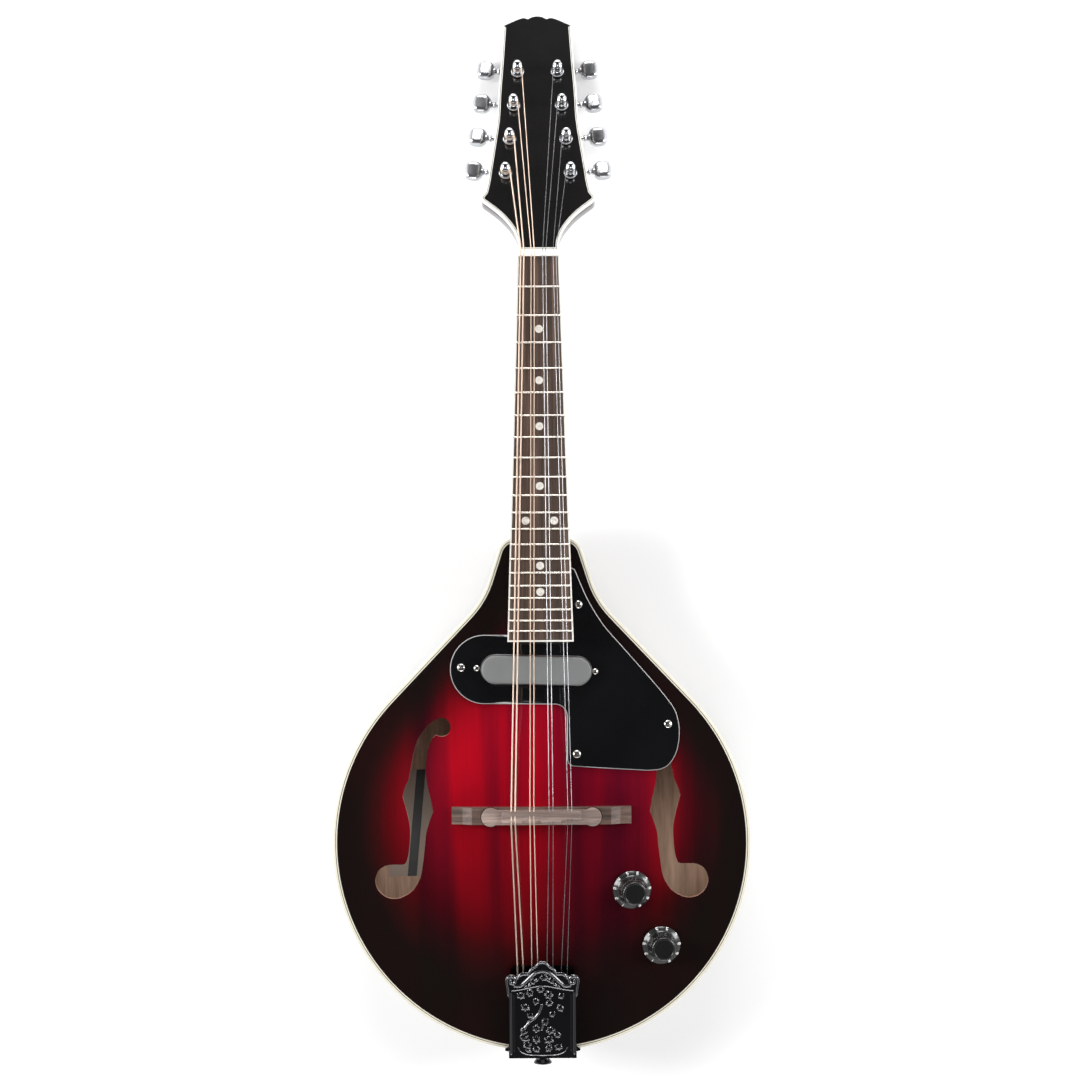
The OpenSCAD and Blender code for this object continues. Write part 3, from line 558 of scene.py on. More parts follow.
def gloss_black(name, base=(0.0036, 0.0038, 0.0042), rough=0.10):
    p = Paint(name, base, Coat_Weight=0.6, Coat_Roughness=0.04)
    smear = p.noise(9, 5.0, 0.6)
    p.rough(smear, rough * 0.7, rough * 1.9)
    p.color(p.ramp(p.noise(25, 4.0), (0.3, tuple(0.8 * c for c in base)),
                   (0.7, tuple(1.3 * c for c in base))))
    p.bump(p.noise(80, 2.0), 0.02, 0.0003)
    return p.mat


def rosewood(name, along, light=(0.115, 0.072, 0.052), dark=(0.030, 0.019, 0.014), rough=0.42):
    """along is the noise scale per axis; it is smallest along the grain."""
    p = Paint(name, Coat_Weight=0.06, Coat_Roughness=0.25)
    figure = p.noise(1.0, 4.0, 0.55, p.scaled(*along), 0.6)
    fine = p.noise(1.0, 6.0, 0.65, p.scaled(*(7 * a for a in along)))
    pores = p.noise(1.0, 2.0, 0.5, p.scaled(*(22 * a for a in along)))
    c = p.ramp(figure, (0.30, dark), (0.48, tuple(0.6 * v for v in light)), (0.62, light),
               (0.74, tuple(1.35 * v for v in light)))
    c = p.mix(0.55, c, p.ramp(fine, (0.3, 0.25), (0.7, 0.75)), "OVERLAY")
    hole = p.ramp(pores, (0.30, 1.0), (0.38, 0.0))
    p.color(p.mix(p.math("MULTIPLY", hole, 0.75), c, tuple(0.45 * v for v in dark)))
    p.rough(fine, rough - 0.08, rough + 0.14)
    p.bump(p.math("SUBTRACT", fine, p.math("MULTIPLY", hole, 1.5)), 0.25, 0.00015)
    return p.mat


def raw_wood(name, light, dark, along=(120, 6, 120)):
    p = Paint(name, Roughness=0.75)
    grain = p.noise(1.0, 5.0, 0.6, p.scaled(*along), 0.3)
    fine = p.noise(1.0, 3.0, 0.6, p.scaled(*(6 * a for a in along)))
    c = p.ramp(grain, (0.3, dark), (0.7, light))
    p.color(p.mix(0.4, c, p.ramp(fine, (0.3, 0.2), (0.7, 0.8)), "OVERLAY"))
    p.bump(fine, 0.3, 0.0002)
    return p.mat


def metal(name, base, rough, brushed=None, wear=0.25, scale=35):
    p = Paint(name, base, Metallic=1.0)
    n = p.noise(scale, 5.0, 0.6)
    if brushed:
        n = p.noise(1.0, 4.0, 0.6, p.scaled(*brushed))
    p.rough(n, rough * 0.6, rough * 1.6)
    p.color(p.mix(p.math("MULTIPLY", p.noise(scale * 0.7, 4.0), wear), base, tuple(0.72 * c for c in base)))
    p.bump(p.noise(400, 2.0), 0.03, 0.00005)
    return p.mat


def plastic(name, base, rough, tint=0.12, depth=0.04, coat=0.2):
    p = Paint(name, base, Coat_Weight=coat, Coat_Roughness=0.12)
    cloud = p.noise(45, 4.0, 0.6)
    p.color(p.mix(p.math("MULTIPLY", cloud, tint * 2), base, tuple(0.8 * c for c in base)))
    p.rough(p.noise(120, 4.0), rough * 0.8, rough * 1.3)
    p.bump(p.noise(300, 3.0), depth, 0.0001)
    return p.mat


def pearl():
    p = Paint("pearl", Coat_Weight=0.8, Coat_Roughness=0.06, Roughness=0.28, Specular_IOR_Level=0.6)
    swirl = p.noise(330, 4.0, 0.55, warp=2.2)
    p.color(p.ramp(swirl, (0.3, (0.52, 0.47, 0.42)), (0.5, (0.78, 0.74, 0.68)), (0.7, (0.90, 0.86, 0.80))))
    p.bump(swirl, 0.04, 0.0001)
    return p.mat


def wound(name, base, pitch):
    """Wrapped string: fine turns along Y, with painted shade in the grooves between turns."""
    p = Paint(name, base, Metallic=1.0)
    wave = p.node("ShaderNodeTexWave", {"Vector": p.pos, "Scale": pitch, "Distortion": 0.0},
                  wave_type="BANDS", bands_direction="Y").outputs["Fac"]
    # Painted shade: the colour drops to 0.35 of the metal in each groove between turns.
    p.color(p.ramp(wave, (0.0, tuple(0.35 * c for c in base)), (0.35, base)))
    p.rough(p.noise(60, 4.0), 0.22, 0.42)
    p.bump(wave, 0.5, 0.00008)
    return p.mat


def plain_steel():
    p = Paint("plain_string", (0.42, 0.42, 0.44), Metallic=1.0)
    p.rough(p.noise(80, 4.0), 0.18, 0.36)
    p.color(p.ramp(p.noise(50, 4.0), (0.3, (0.30, 0.30, 0.31)), (0.7, (0.50, 0.50, 0.52))))
    return p.mat


M = {
    "top": lacquer_top(),
    "back": lacquer_back(),
    "side": lacquer_dark("side_lacquer", (0.020, 0.0012, 0.0022), (0.0045, 0.0012, 0.0013), (20, 20, 1.5)),
    "neck": lacquer_dark("neck_lacquer", (0.030, 0.0016, 0.0020), (0.0060, 0.0010, 0.0011), (45, 2.2, 45)),
    "inner": raw_wood("inner_wood", (0.56, 0.38, 0.27), (0.30, 0.18, 0.12), (70, 5, 70)),
    "lining": raw_wood("lining_wood", (0.45, 0.29, 0.17), (0.27, 0.16, 0.09), (60, 60, 8)),
    "block": raw_wood("block_wood", (0.30, 0.15, 0.08), (0.17, 0.08, 0.04), (60, 60, 6)),
    "spruce": raw_wood("brace_wood", (0.55, 0.38, 0.22), (0.38, 0.24, 0.12), (160, 5, 160)),
    "ply": raw_wood("ply_edge", (0.50, 0.28, 0.20), (0.22, 0.10, 0.07), (9, 9, 700)),
    "cream": plastic("cream_binding", (0.74, 0.70, 0.58), 0.30, 0.10, 0.02, 0.5),
    "white": plastic("white_binding", (0.84, 0.82, 0.76), 0.26, 0.08, 0.02, 0.5),
    "line": plastic("black_line", (0.012, 0.012, 0.012), 0.30, 0.10, 0.02, 0.4),
    "nut": plastic("nut_white", (0.88, 0.86, 0.80), 0.28, 0.08, 0.02, 0.4),
    "guard": gloss_black("pickguard_black"),
    # The pickguard's cut bevel is coloured grey: a painted highlight along its edge.
    "guard_edge_highlight": plastic("pickguard_bevel_highlight", (0.36, 0.35, 0.35), 0.30, 0.20, 0.03, 0.4),
    "facing": gloss_black("headstock_black", (0.0050, 0.0044, 0.0045), 0.09),
    "board": rosewood("fingerboard_rosewood", (330, 6, 60)),
    "bridge": rosewood("bridge_rosewood", (9, 260, 120), (0.165, 0.105, 0.082), (0.050, 0.032, 0.025)),
    "saddle": rosewood("saddle_rosewood", (9, 260, 120), (0.36, 0.27, 0.235), (0.15, 0.105, 0.09)),
    "fret": metal("nickel_silver", (0.80, 0.75, 0.68), 0.16, (40, 900, 900)),
    "chrome": metal("tuner_chrome", (0.70, 0.71, 0.73), 0.07),
    "button": metal("tuner_button_chrome", (0.60, 0.61, 0.63), 0.24),
    "plate": metal("tuner_plate_nickel", (0.62, 0.62, 0.62), 0.20, (900, 25, 25)),
    "nickel": metal("nickel_plate", (0.66, 0.63, 0.60), 0.14),
    "dark": metal("black_nickel", (0.050, 0.050, 0.054), 0.16, None, 0.3),
    "black_chrome": metal("black_chrome", (0.150, 0.150, 0.158), 0.13, None, 0.35),
    "steel": metal("zinc_steel", (0.50, 0.48, 0.42), 0.32),
    "grey": plastic("pickup_grey", (0.165, 0.172, 0.168), 0.52, 0.12, 0.10, 0.0),
    "coil": metal("coil_wire", (0.30, 0.10, 0.04), 0.35, (6, 900, 900)),
    "knob": plastic("knob_black", (0.0085, 0.0085, 0.0085), 0.22, 0.10, 0.03, 0.4),
    "mark": plastic("mark_white", (0.82, 0.82, 0.80), 0.40, 0.05, 0.02, 0.0),
    "paper": plastic("label_paper", (0.34, 0.27, 0.22), 0.7, 0.2, 0.12, 0.0),
    "strip": plastic("label_strip", (0.022, 0.022, 0.023), 0.5, 0.15, 0.08, 0.0),
    "pearl": pearl(),
    "g": wound("wound_string_g", (0.80, 0.62, 0.50), 620),
    "d": wound("wound_string_d", (0.80, 0.62, 0.50), 820),
    "plain": plain_steel(),
}


def paint(node, *mats):
    """Gives a carried-over CAD node its material."""
    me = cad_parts[node].data
    me.materials.clear()
    for m in mats:
        me.materials.append(m)


def soften(node, width, angle=40, segments=2):
    """Rounds the hard edges of a carried-over CAD node."""
    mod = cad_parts[node].modifiers.new("edge", "BEVEL")
    mod.width = width * 0.001
    mod.segments = segments
    mod.limit_method = "ANGLE"
    mod.angle_limit = math.radians(angle)
    mod.harden_normals = True


def flag_burst(ob, arch):
    """Stores how close each point is to the edge of the plate, and how bright the burst is there."""
    co = np.array([v.co for v in ob.data.vertices]) * 1000
    s = arch.share(co[:, 0], co[:, 1] - BODY_Y)
    a = ob.data.attributes.new("burst", "FLOAT", "POINT")
    a.data.foreach_set("value", s.astype(np.float32))
    t = np.clip((s - 0.46) / 0.46, 0, 1)
    high = np.interp(co[:, 1] - BODY_Y, (-125, -90, -60, -20, 10, 50), (0.05, 0.14, 0.32, 0.56, 0.78, 1))
    a = ob.data.attributes.new("lit", "FLOAT", "POINT")
    a.data.foreach_set("value", ((1 - t * t * (3 - 2 * t)) * high).astype(np.float32))


# ---- body ----

holes = [HOLE_LINE[::-1], mirrored(HOLE_LINE[::-1])]
shape = plate([inset(BODY_LINE, 3.1)] + holes, 3.0, TOP.z, lambda x, y: TOP.z(x, y) - 4, place=AT_BODY)
top = shape.build("soundboard_plate", [M["top"], M["inner"], M["ply"]], replaces=["soundboard"],
                  slot="soundboard")
flag_burst(top, TOP)

shape = plate([inset(BODY_LINE, 1.6)], 4.0, lambda x, y: BACK.z(x, y) + 4, BACK.z, place=AT_BODY)
back = shape.build("back_plate_arched", [M["inner"], M["back"], M["back"]], replaces=["back_plate"],
                   slot="back_plate")
flag_burst(back, BACK)

rim = sweep(BODY_LINE, [(0, RIM_Z, 0), (0, RIM_TOP, 1), (2.5, RIM_TOP, 1), (2.5, RIM_Z, 1)],
            [M["side"], M["inner"]], "rim_wall", place=AT_BODY, replaces=["rim"], slot="rim")
v, f = lathe([(0, -8), (4.8, -8), (4.8, 8), (0, 8)], 40)
jack_place = AT_BODY @ turn("Z", -40) @ shift(BOUT_R, 0, RIM_Z + 21.5) @ turn("Y", 90)
cut(rim, build("jack_cutter", put(jack_place, v), f, M["inner"], body=None))

sweep(BODY_LINE, [(0, 62, 0), (0, 65.4, 0), (0.2, 65.85, 0), (0.6, 66, 0), (1.6, 66, 1), (2.0, 66, 0),
                  (2.7, 66, 1), (3.1, 66, 0), (3.1, 62, 0)], [M["cream"], M["line"]], "soundboard_binding",
      place=AT_BODY, replaces=["top_binding"], slot="top_binding")
sweep(BODY_LINE, [(0, 19, 0), (0, 15.6, 0), (0.2, 15.15, 0), (0.6, 15, 0), (1.6, 15, 0), (1.6, 19, 0)],
      [M["cream"]], "back_edge_binding", place=AT_BODY, replaces=["back_binding"], slot="back_binding")

for node in ("neck_block", "tail_block"):
    paint(node, M["block"])
paint("kerfed_linings", M["lining"])
paint("tone_bars", M["spruce"])
label = Shape()
for corners, rise, k in (([(-101, -28), (-70, -28), (-70, 42.5), (-101, 42.5)], 4.25, 0),
                         ([(-89, -28), (-83, -28), (-76.8, 42.5), (-82.6, 42.5)], 4.34, 1)):
    c = np.array(corners, float)
    u = np.linspace(0, 1, 15)[:, None]
    rows = []
    for w in np.linspace(0, 1, 25):
        a, b = c[0] + (c[3] - c[0]) * w, c[1] + (c[2] - c[1]) * w
        q = a + (b - a) * u
        rows.append(np.column_stack([q, BACK.z(q[:, 0], q[:, 1]) + rise]))
    label.add(*loft(rows, closed=False, caps=False), AT_BODY, k)
label.build("inner_label_sheet", [M["paper"], M["strip"]], replaces=["inner_label"], slot="inner_label")

# ---- neck ----

def d_section(w, depth, q, n=40):
    t = np.radians(np.linspace(0, 180, n + 1))
    return np.stack([w * np.cos(t), 0 * t, -depth * np.sin(t) ** q], 1)


SHAFT = [(-185, 19.2, 62, 1.4), (-168, 18.6, 58, 1.4), (-164, 18.5, 48, 1.35), (-160, 18.4, 37, 1.25),
         (-155, 18.2, 28, 1.1), (-149, 18.1, 22, 1), (-140, 17.8, 18, 0.9), (-128, 17.4, 16.4, 0.8),
         (-90, 16.2, 15.6, 0.8), (-45, 14.9, 14.6, 0.8), (0, 13.5, 13.5, 0.8)]
NECK_ROOT = [(3, 12.9, 12.5, 0.8), (9, 13.5, 10.8, 0.7), (15, 15.9, 9.9, 0.55), (21, 19.4, 9.7, 0.4)]


def neck_rows():
    place = [put(AT_NECK @ shift(0, y, -BOARD_T), d_section(w, d, q)) for y, w, d, q in SHAFT]
    place += [put(AT_HEAD @ shift(0, y, FACING_Z), d_section(w, d, q)) for y, w, d, q in NECK_ROOT]
    rows = np.array(place)
    smooth = curve(rows.reshape(len(rows), -1), 5)
    return [r.reshape(-1, 3) for r in smooth]


v, f = loft(neck_rows())
neck = build("neck_shaft", v, f, M["neck"], sharp=50)
for lo, hi in (((-60, -120, -5), (60, BODY_Y + END_Y, EDGE_Z + 0.05)), ((-60, -120, -5), (60, 60, 17))):
    a, b = np.array(lo, float), np.array(hi, float)
    c = np.array([[(a, b)[i][0], (a, b)[j][1], (a, b)[k][2]] for k in (0, 1) for j in (0, 1) for i in (0, 1)])
    q = [(0, 2, 3, 1), (4, 5, 7, 6), (0, 1, 5, 4), (2, 6, 7, 3), (0, 4, 6, 2), (1, 3, 7, 5)]
    cut(neck, build("neck_cutter", c, q, M["neck"], body=None))
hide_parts("neck")

shape = Shape()
rows = [level(HEAD_LINE, d, z) for d, z in ((1.8, -1.6), (1.8, -3.5), (0, -3.5), (0, -12.5), (0.3, -13.1),
                                            (0.9, -13.3))]
shape.add(*loft(rows), AT_HEAD)
shape.build("headstock_core", [M["neck"]], slot="neck")

rows = []
for y in np.linspace(-243, -176, 15):
    upper = put(AT_NECK, [(15, y, -BOARD_T), (-15, y, -BOARD_T)])
    x = np.linspace(-14.4, 14.4, 9)
    low = np.column_stack([x, np.full(9, upper[0][1]), TOP.z(x, np.full(9, upper[0][1] - BODY_Y)) + 0.15])
    rows.append(np.concatenate([upper, low]))
v, f = loft(rows)
build("neck_extension", v, f, M["neck"], slot="neck")

edge = [(0, -3.5, 0), (0, -0.3, 0), (0.3, 0, 0), (1.0, 0, 1), (1.35, 0, 0), (1.8, 0, 0), (1.8, -3.5, 0)]
rows = [level(HEAD_LINE, d, z) for d, z, _ in edge]
v, f = loft(rows, loop=True)
tip = (HEAD_LINE[:, 1] > 160.9) & (np.roll(HEAD_LINE, -1, 0)[:, 1] > 160.9)
index = np.concatenate([np.where(tip, 2, m) for _, _, m in edge])
Shape().add(v, f, AT_HEAD, index).build("headstock_edge_binding", [M["white"], M["line"], M["facing"]],
                                        replaces=["headstock_binding"], slot="headstock_binding")
paint("headstock_overlay", M["facing"])
paint("truss_rod", M["steel"])
paint("fingerboard", M["board"])
paint("fingerboard_binding", M["white"])
paint("position_dots", M["pearl"])
paint("nut", M["nut"])
soften("nut", 0.15)

shape = Shape()
for n in range(1, FRET_COUNT + 1):
    y = -SCALE_LENGTH * (1 - 2 ** (-n / 12))
    w = (27 - 15.2 * y / 248) / 2
    t = np.radians(np.linspace(0, 180, 13))
    prof = np.stack([0.65 * np.cos(t), 0.95 * np.sin(t)], 1)
    rows = []
    for x, k in ((-w, 0.55), (-w + 0.25, 0.9), (-w + 0.7, 1), (w - 0.7, 1), (w - 0.25, 0.9), (w, 0.55)):
        rows.append([(x, y + a, b * k) for a, b in prof])
    shape.add(*loft(rows), AT_NECK)
shape.build("fret_wires", [M["fret"]], replaces=["frets"], slot="frets", sharp=60)

# ---- tuners ----

paint("tuner_plates", M["plate"])
paint("tuner_bushings", M["chrome"])
paint("tuner_screws", M["chrome"])
soften("tuner_plates", 0.2)

TURNS = {-1: (8, -6, 5, -4), 1: (-6, 7, -4, 9)}


def gear(r, z0, z1, teeth=15):
    n = teeth * 6
    rows = []
    for z in (z0, z1):
        skew = (z - z0) * 0.05
        a = around(n)
        rr = r - 0.45 * (0.5 - 0.5 * np.clip(1.6 * np.cos((a + skew) * teeth), -1, 1))
        rows.append(np.stack([rr * np.cos(a), rr * np.sin(a), np.full(n, z)], 1))
    return loft(rows)


def button():
    """The head of a tuner: a flat block with cut edges that widens from its neck to a curved outer end."""
    side = curve([(0.1, -3.1), (1.5, -4.9), (3.2, -5.85), (5, -6.05), (8, -5.95), (9.8, -5.4), (10.9, -4.4),
                  (11.5, -2.8), (11.7, 0)], 3)
    plan = np.concatenate([side, side[-2::-1] * np.array([1, -1])])
    rows = []
    for d, z in ((2.9, -3.45), (1.25, -3.35), (1.05, -3.2), (0.15, -2.2), (0, -1.9), (0, 1.9), (0.15, 2.2),
                 (1.05, 3.2), (1.25, 3.35), (2.9, 3.45)):
        p = inset(plan, d)
        thick = np.interp(p[:, 0], (0, 3.5, 9, 11.7), (0.72, 1, 0.95, 0.7))
        rows.append(np.column_stack([p, z * thick]))
    return loft(rows)


def worm(turns=4, length=9.0):
    n, rows = 24, []
    for j in range(73):
        u = j / 72
        a = around(n)
        r = 1.55 + 0.33 * np.clip(1.5 * np.cos(a - 2 * math.pi * turns * u), -1, 1)
        rows.append(np.stack([np.full(n, -length / 2 + length * u), r * np.cos(a), r * np.sin(a)], 1))
    return loft(rows)


for side, tag in ((-1, "b"), (1, "t")):
    for k in range(4):
        name = f"{tag}{k + 1}"
        place = at_column(side) @ shift(0, k * POST_PITCH + 6.9, -HEAD_T - 3.3) @ turn("X", TURNS[side][k])
        shape = Shape()
        shape.add(*lathe([(0, -7.9), (1.2, -7.9), (1.5, -7.6), (1.5, 12.6), (1.9, 12.8), (2.2, 13.3),
                          (2.2, 13.8), (1.8, 14.2), (1.7, 14.5), (2.1, 15.4), (2.5, 16.4), (2.5, 16.9),
                          (0, 16.9)], 32), place @ turn("Y", 90))
        shape.add(*worm(), place)
        shape.add(*button(), place @ shift(16.3, 0, 0))
        shape.build(f"tuner_button_{name}", [M["button"]], body=f"tuner_knob_{name}",
                    replaces=[f"tuner_knob_{name}"], slot="tuner_hardware", sharp=50)

        shape = Shape()
        post_place = at_column(side) @ shift(0, k * POST_PITCH, 0)
        shape.add(*lathe([(0, -HEAD_T - 1.4), (3, -HEAD_T - 1.4), (3, 3.8), (2.7, 4.2), (2.38, 4.8),
                          (2.3, 6.4), (2.4, 8.2), (2.75, 8.8), (3, 9.1), (3, 10.1), (2.8, 10.4), (1.8, 10.8),
                          (1.6, 11.1), (1.62, 11.4), (2.1, 11.8), (2.3, 12.3), (2.28, 12.8), (2.0, 13.3),
                          (1.5, 13.6), (0.8, 13.78), (0, 13.8)], 40), post_place)
        shape.add(*gear(4.85, -HEAD_T - 5.2, -HEAD_T - 1.4), post_place)
        shape.add(*lathe([(0, -HEAD_T - 5.7), (1.1, -HEAD_T - 5.7), (1.2, -HEAD_T - 6.05),
                          (1.9, -HEAD_T - 6.0), (2.3, -HEAD_T - 5.6), (2.3, -HEAD_T - 5.1),
                          (0, -HEAD_T - 5.1)], 28), post_place)
        shape.build(f"string_post_metal_{name}", [M["chrome"]], body=f"string_post_{name}",
                    replaces=[f"string_post_{name}"], slot="tuner_hardware", sharp=50)

# ---- bridge ----

paint("bridge_base", M["bridge"])
lobe = arc(32.3, 0, 5.7, -125.3, 125.3, 40)
plan = np.concatenate([lobe, mirrored(lobe)])
shape = Shape()
shape.add(*loft([level(plan, d, z) for d, z in ((0.3, 89), (0, 89.3), (0, 92.7), (0.15, 93.05),
                                                (0.5, 93.2))]), AT_BODY @ shift(0, SADDLE_MIDDLE, 0))
crest = np.array([(-25, 4.35), (-25, -2.4), (-13.2, -2.4), (-12, -0.4), (-1, -0.4), (0.2, -2.4), (11.8, -2.4),
                  (13, -0.4), (25, -0.4), (25, 4.35)])
rows = []
for d, z, lean in ((0, 93.1, 1.7), (0, 95.6, 0.25), (0.3, 96.0, 0), (0.55, 96.1, 0)):
    q = inset(crest, d)
    q[:, 1] -= lean * (q[:, 1] < 1)
    rows.append(np.column_stack([q, np.full(len(q), z)]))
shape.add(*loft(rows), AT_BODY @ shift(0, SADDLE_MIDDLE, 0))
shape.build("bridge_saddle_carved", [M["saddle"]], body="saddle", replaces=["bridge_saddle"],
            slot="bridge_wood", sharp=30)
paint("bridge_posts", M["nickel"])
paint("thumbwheel_bass", M["nickel"])
paint("thumbwheel_treble", M["nickel"])
soften("bridge_base", 0.4, 30)

# ---- tailpiece ----

paint("tailpiece_base", M["dark"])
paint("tailpiece_screws", M["dark"])
paint("strap_button", M["black_chrome"])
soften("tailpiece_base", 0.15)

cover_side = np.concatenate([
    [(21.7, -1.8), (21.7, 39.3)],
    curve([(22.8, 39.9), (22.9, 41.6), (23, 44.5), (23.8, 48.5), (23.2, 52), (20.6, 53.9), (17.6, 53.5)], 5),
    curve([(16, 52.8), (14.4, 54.6), (12, 55.4), (9.2, 55.2)], 5),
    curve([(8.2, 57.4), (6.2, 59), (4.4, 60.2), (2.6, 62.3), (0.6, 63)], 5)])
COVER_LINE = thin(np.concatenate([cover_side, mirrored(cover_side)]), 0.05)
MOULD = [(17.6, 46.6), (14.2, 46.6), (10.8, 49.2), (7.2, 52.8), (3.6, 55.6), (0, 56.4)]
CREST_EDGE = [(9.2, 54.2), (7.4, 57), (5.4, 58.6), (3.6, 60), (2.2, 61.6), (0, 62)]
# Raised lines: whether both halves carry it, its points, half width and height.
STEMS = [
    (True, MOULD, 0.8, 0.85),
    (True, CREST_EDGE, 0.5, 0.7),
    (True, [(19.4, 43.6), (15, 44.2), (9, 45.4), (4, 46.4), (0, 46.8)], 0.4, 0.5),
    (True, [(16, 51.6), (14.2, 53.4), (12, 54.3), (9.6, 54.2)], 0.45, 0.6),
    (True, [(22, 40.6), (22.2, 44.6), (22.9, 48.6), (22.2, 51.6), (20.2, 52.8), (17.8, 51.8), (17.2, 49.6),
            (18.6, 48), (20.4, 48.6), (20.2, 50.4)], 0.6, 0.8),
    (True, [(20.2, 1.4), (20.2, 42)], 0.55, 0.5),
    (True, [(18.2, 3.4), (18.2, 41)], 0.25, 0.25),
    (True, [(15.8, 6), (13.4, 2.6), (8.6, 0.9), (0, 0.5)], 0.3, 0.4),
    (False, [(-0.4, 34), (-1.8, 29.6), (-4.7, 25.6), (-8.7, 22.2), (-11.5, 18.7), (-13.2, 15)], 0.5, 0.85),
    (False, [(-1, 31), (-3.4, 27), (-6.6, 24.6), (-9.6, 22.8)], 0.3, 0.6),
    (False, [(1.6, 24), (0.4, 20.6), (-0.6, 17.4)], 0.4, 0.7)]
# Flowers: middle x, y and leaf length.
SPRAYS = [(1, 52.2, 2.3), (-6.2, 49.6, 1.7), (5.6, 50.4, 1.6), (-13.8, 40.2, 2.4), (-8, 42, 2.3),
          (-1.2, 44.2, 2.1), (3.9, 40.6, 2.8), (11.9, 40, 1.9), (-11, 32.4, 2.6), (-4.2, 36.4, 2),
          (4.4, 35.2, 2.1), (11.3, 31.9, 2.2), (6.2, 27.9, 1.9), (-8, 27, 1.7), (-4.1, 18.2, 2.4),
          (5, 17, 2.6), (9.4, 14.2, 2.1), (1.6, 22.7, 2.4), (3.9, 10.7, 2.7), (-4.1, 11, 2.5),
          (-9.8, 7.2, 2.4), (-4.1, 4.6, 2.1), (3.9, 5.2, 2.3), (10.2, 6, 2.3), (-12.6, 12.6, 2.1)]


def leaf(x, y, cx, cy, a, l, w, h):
    """Height of one raised leaf: l long and w wide, pointing along the angle a."""
    u = (x - cx) * math.cos(a) + (y - cy) * math.sin(a)
    v = -(x - cx) * math.sin(a) + (y - cy) * math.cos(a)
    t = np.clip(u / l, 0, 1)
    half = w * np.sin(np.pi * np.clip(t, 0.001, 0.999)) ** 0.7
    d = np.clip(1 - (v / np.maximum(half, 1e-3)) ** 2, 0, 1) * (u > 0) * (u < l)
    vein = 0.35 * np.exp(-(v / 0.16) ** 2)
    return h * (np.sqrt(d) - vein * (d > 0))


def stem(x, y, points, w, h):
    """Height of a raised line through the points."""
    out = np.zeros_like(x)
    p = curve(points, 5)
    for a, b in zip(p, p[1:]):
        ab = b - a
        t = np.clip(((x - a[0]) * ab[0] + (y - a[1]) * ab[1]) / (ab @ ab), 0, 1)
        d = np.hypot(x - a[0] - t * ab[0], y - a[1] - t * ab[1])
        out = np.maximum(out, h * np.sqrt(np.clip(1 - (d / w) ** 2, 0, 1)))
    return out


def relief(x, y):
    """Stamped scroll and leaf ornament of the cover, in millimetres above its flat panel."""
    sx = np.abs(x)
    z = np.zeros_like(x)
    for both, points, w, h in STEMS:
        z = np.maximum(z, stem(sx if both else x, y, points, w, h))
    for i in range(7):
        z = np.maximum(z, leaf(x, y, -14.2 + 0.5 * i, 17 - 2.1 * i, 0.5 - 0.16 * i, 4.2, 0.85, 0.8))
    for i in range(4):
        z = np.maximum(z, leaf(sx, y, 2.4 + 2.2 * i, 51.6 - 1.5 * i, -0.75, 2.9, 0.7, 0.8))
    for k, (cx, cy, r) in enumerate(SPRAYS):
        for i in range(6):
            z = np.maximum(z, leaf(x, y, cx, cy, i * math.pi / 3 + 1.9 * k, r * (1.15 - 0.12 * (i % 3)), 0.8,
                                   0.85))
        z = np.maximum(z, 0.95 * np.sqrt(np.clip(1 - ((x - cx) ** 2 + (y - cy) ** 2) / 0.45, 0, 1)))
    return z


def cover_top(x, y):
    return 6.7 + np.minimum(relief(x, y), 0.9) * 0.8


shape = plate([COVER_LINE], 0.4, cover_top, lambda x, y: 0 * x + 6.1, 0.5, 0.45, AT_TAIL)
for s in (-1, 1):
    rows = []
    for x, z in ((21.7, 1.5), (21.7, 6.3), (20.8, 6.3), (20.8, 1.5)):
        rows.append([(s * x, -1.8, z), (s * x, 42.2, z)])
    v, f = loft(rows, closed=False, loop=True)
    shape.add(v, f + [[0, 2, 4, 6], [1, 3, 5, 7]], AT_TAIL, 2)
rows = [[(-21.7, y, z), (21.7, y, z)] for y, z in ((-1.8, 1.5), (-1.8, 6.3), (-0.9, 6.3), (-0.9, 1.5))]
v, f = loft(rows, closed=False, loop=True)
shape.add(v, f + [[0, 2, 4, 6], [1, 3, 5, 7]], AT_TAIL, 2)
shape.build("tailpiece_cover_stamped", [M["black_chrome"]] * 4, body="tailpiece_cover",
            replaces=["tailpiece_cover"], slot="tailpiece_cover", sharp=60)

# ---- pickguard and pickup ----

pick_place = shift(-2.8, 111.2, 0) @ turn("Z", -1.5)
pick_hole = put(pick_place, np.column_stack([stadium(70.5, 18.1), np.zeros(PICKUP_POINTS)]))[:, :2]
# Index 3, the cut edge, carries the grey painted highlight of the bevel.
shape = plate([GUARD_LINE, pick_hole[::-1]], 2.6, lambda x, y: TOP.z(x, y) + 1.9,
              lambda x, y: TOP.z(x, y) + 0.1, 0.5, 0.5, AT_BODY)
shape.build("pickguard_sheet", [M["guard"], M["guard"], M["guard"], M["guard_edge_highlight"]], replaces=["pickguard"],
            slot="pickguard")


def screw_head(r, h, slot_w=0.55):
    """A domed cross-head screw, its cross sunk into the dome."""
    n, k = 48, 10
    v, f = [], []
    ring = []
    for j in range(k + 1):
        rr = r * j / k
        z = h * math.sqrt(max(0.0, 1 - (j / k) ** 2 * 0.92))
        row = []
        for i in range(n):
            a = 2 * math.pi * i / n
            x, y = rr * math.cos(a), rr * math.sin(a)
            sunk = (abs(x) < slot_w / 2 and abs(y) < r * 0.62) or (abs(y) < slot_w / 2 and abs(x) < r * 0.62)
            row.append(len(v))
            v.append((x, y, z - (0.5 if sunk else 0.0)))
        ring.append(row)
    for a, b in zip(ring, ring[1:]):
        for i in range(n):
            f.append([a[i], a[(i + 1) % n], b[(i + 1) % n], b[i]])
    skirt = list(range(len(v), len(v) + n))
    v += [(r * math.cos(2 * math.pi * i / n), r * math.sin(2 * math.pi * i / n), -0.3) for i in range(n)]
    for i in range(n):
        f.append([ring[-1][i], ring[-1][(i + 1) % n], skirt[(i + 1) % n], skirt[i]])
    return np.array(v), f


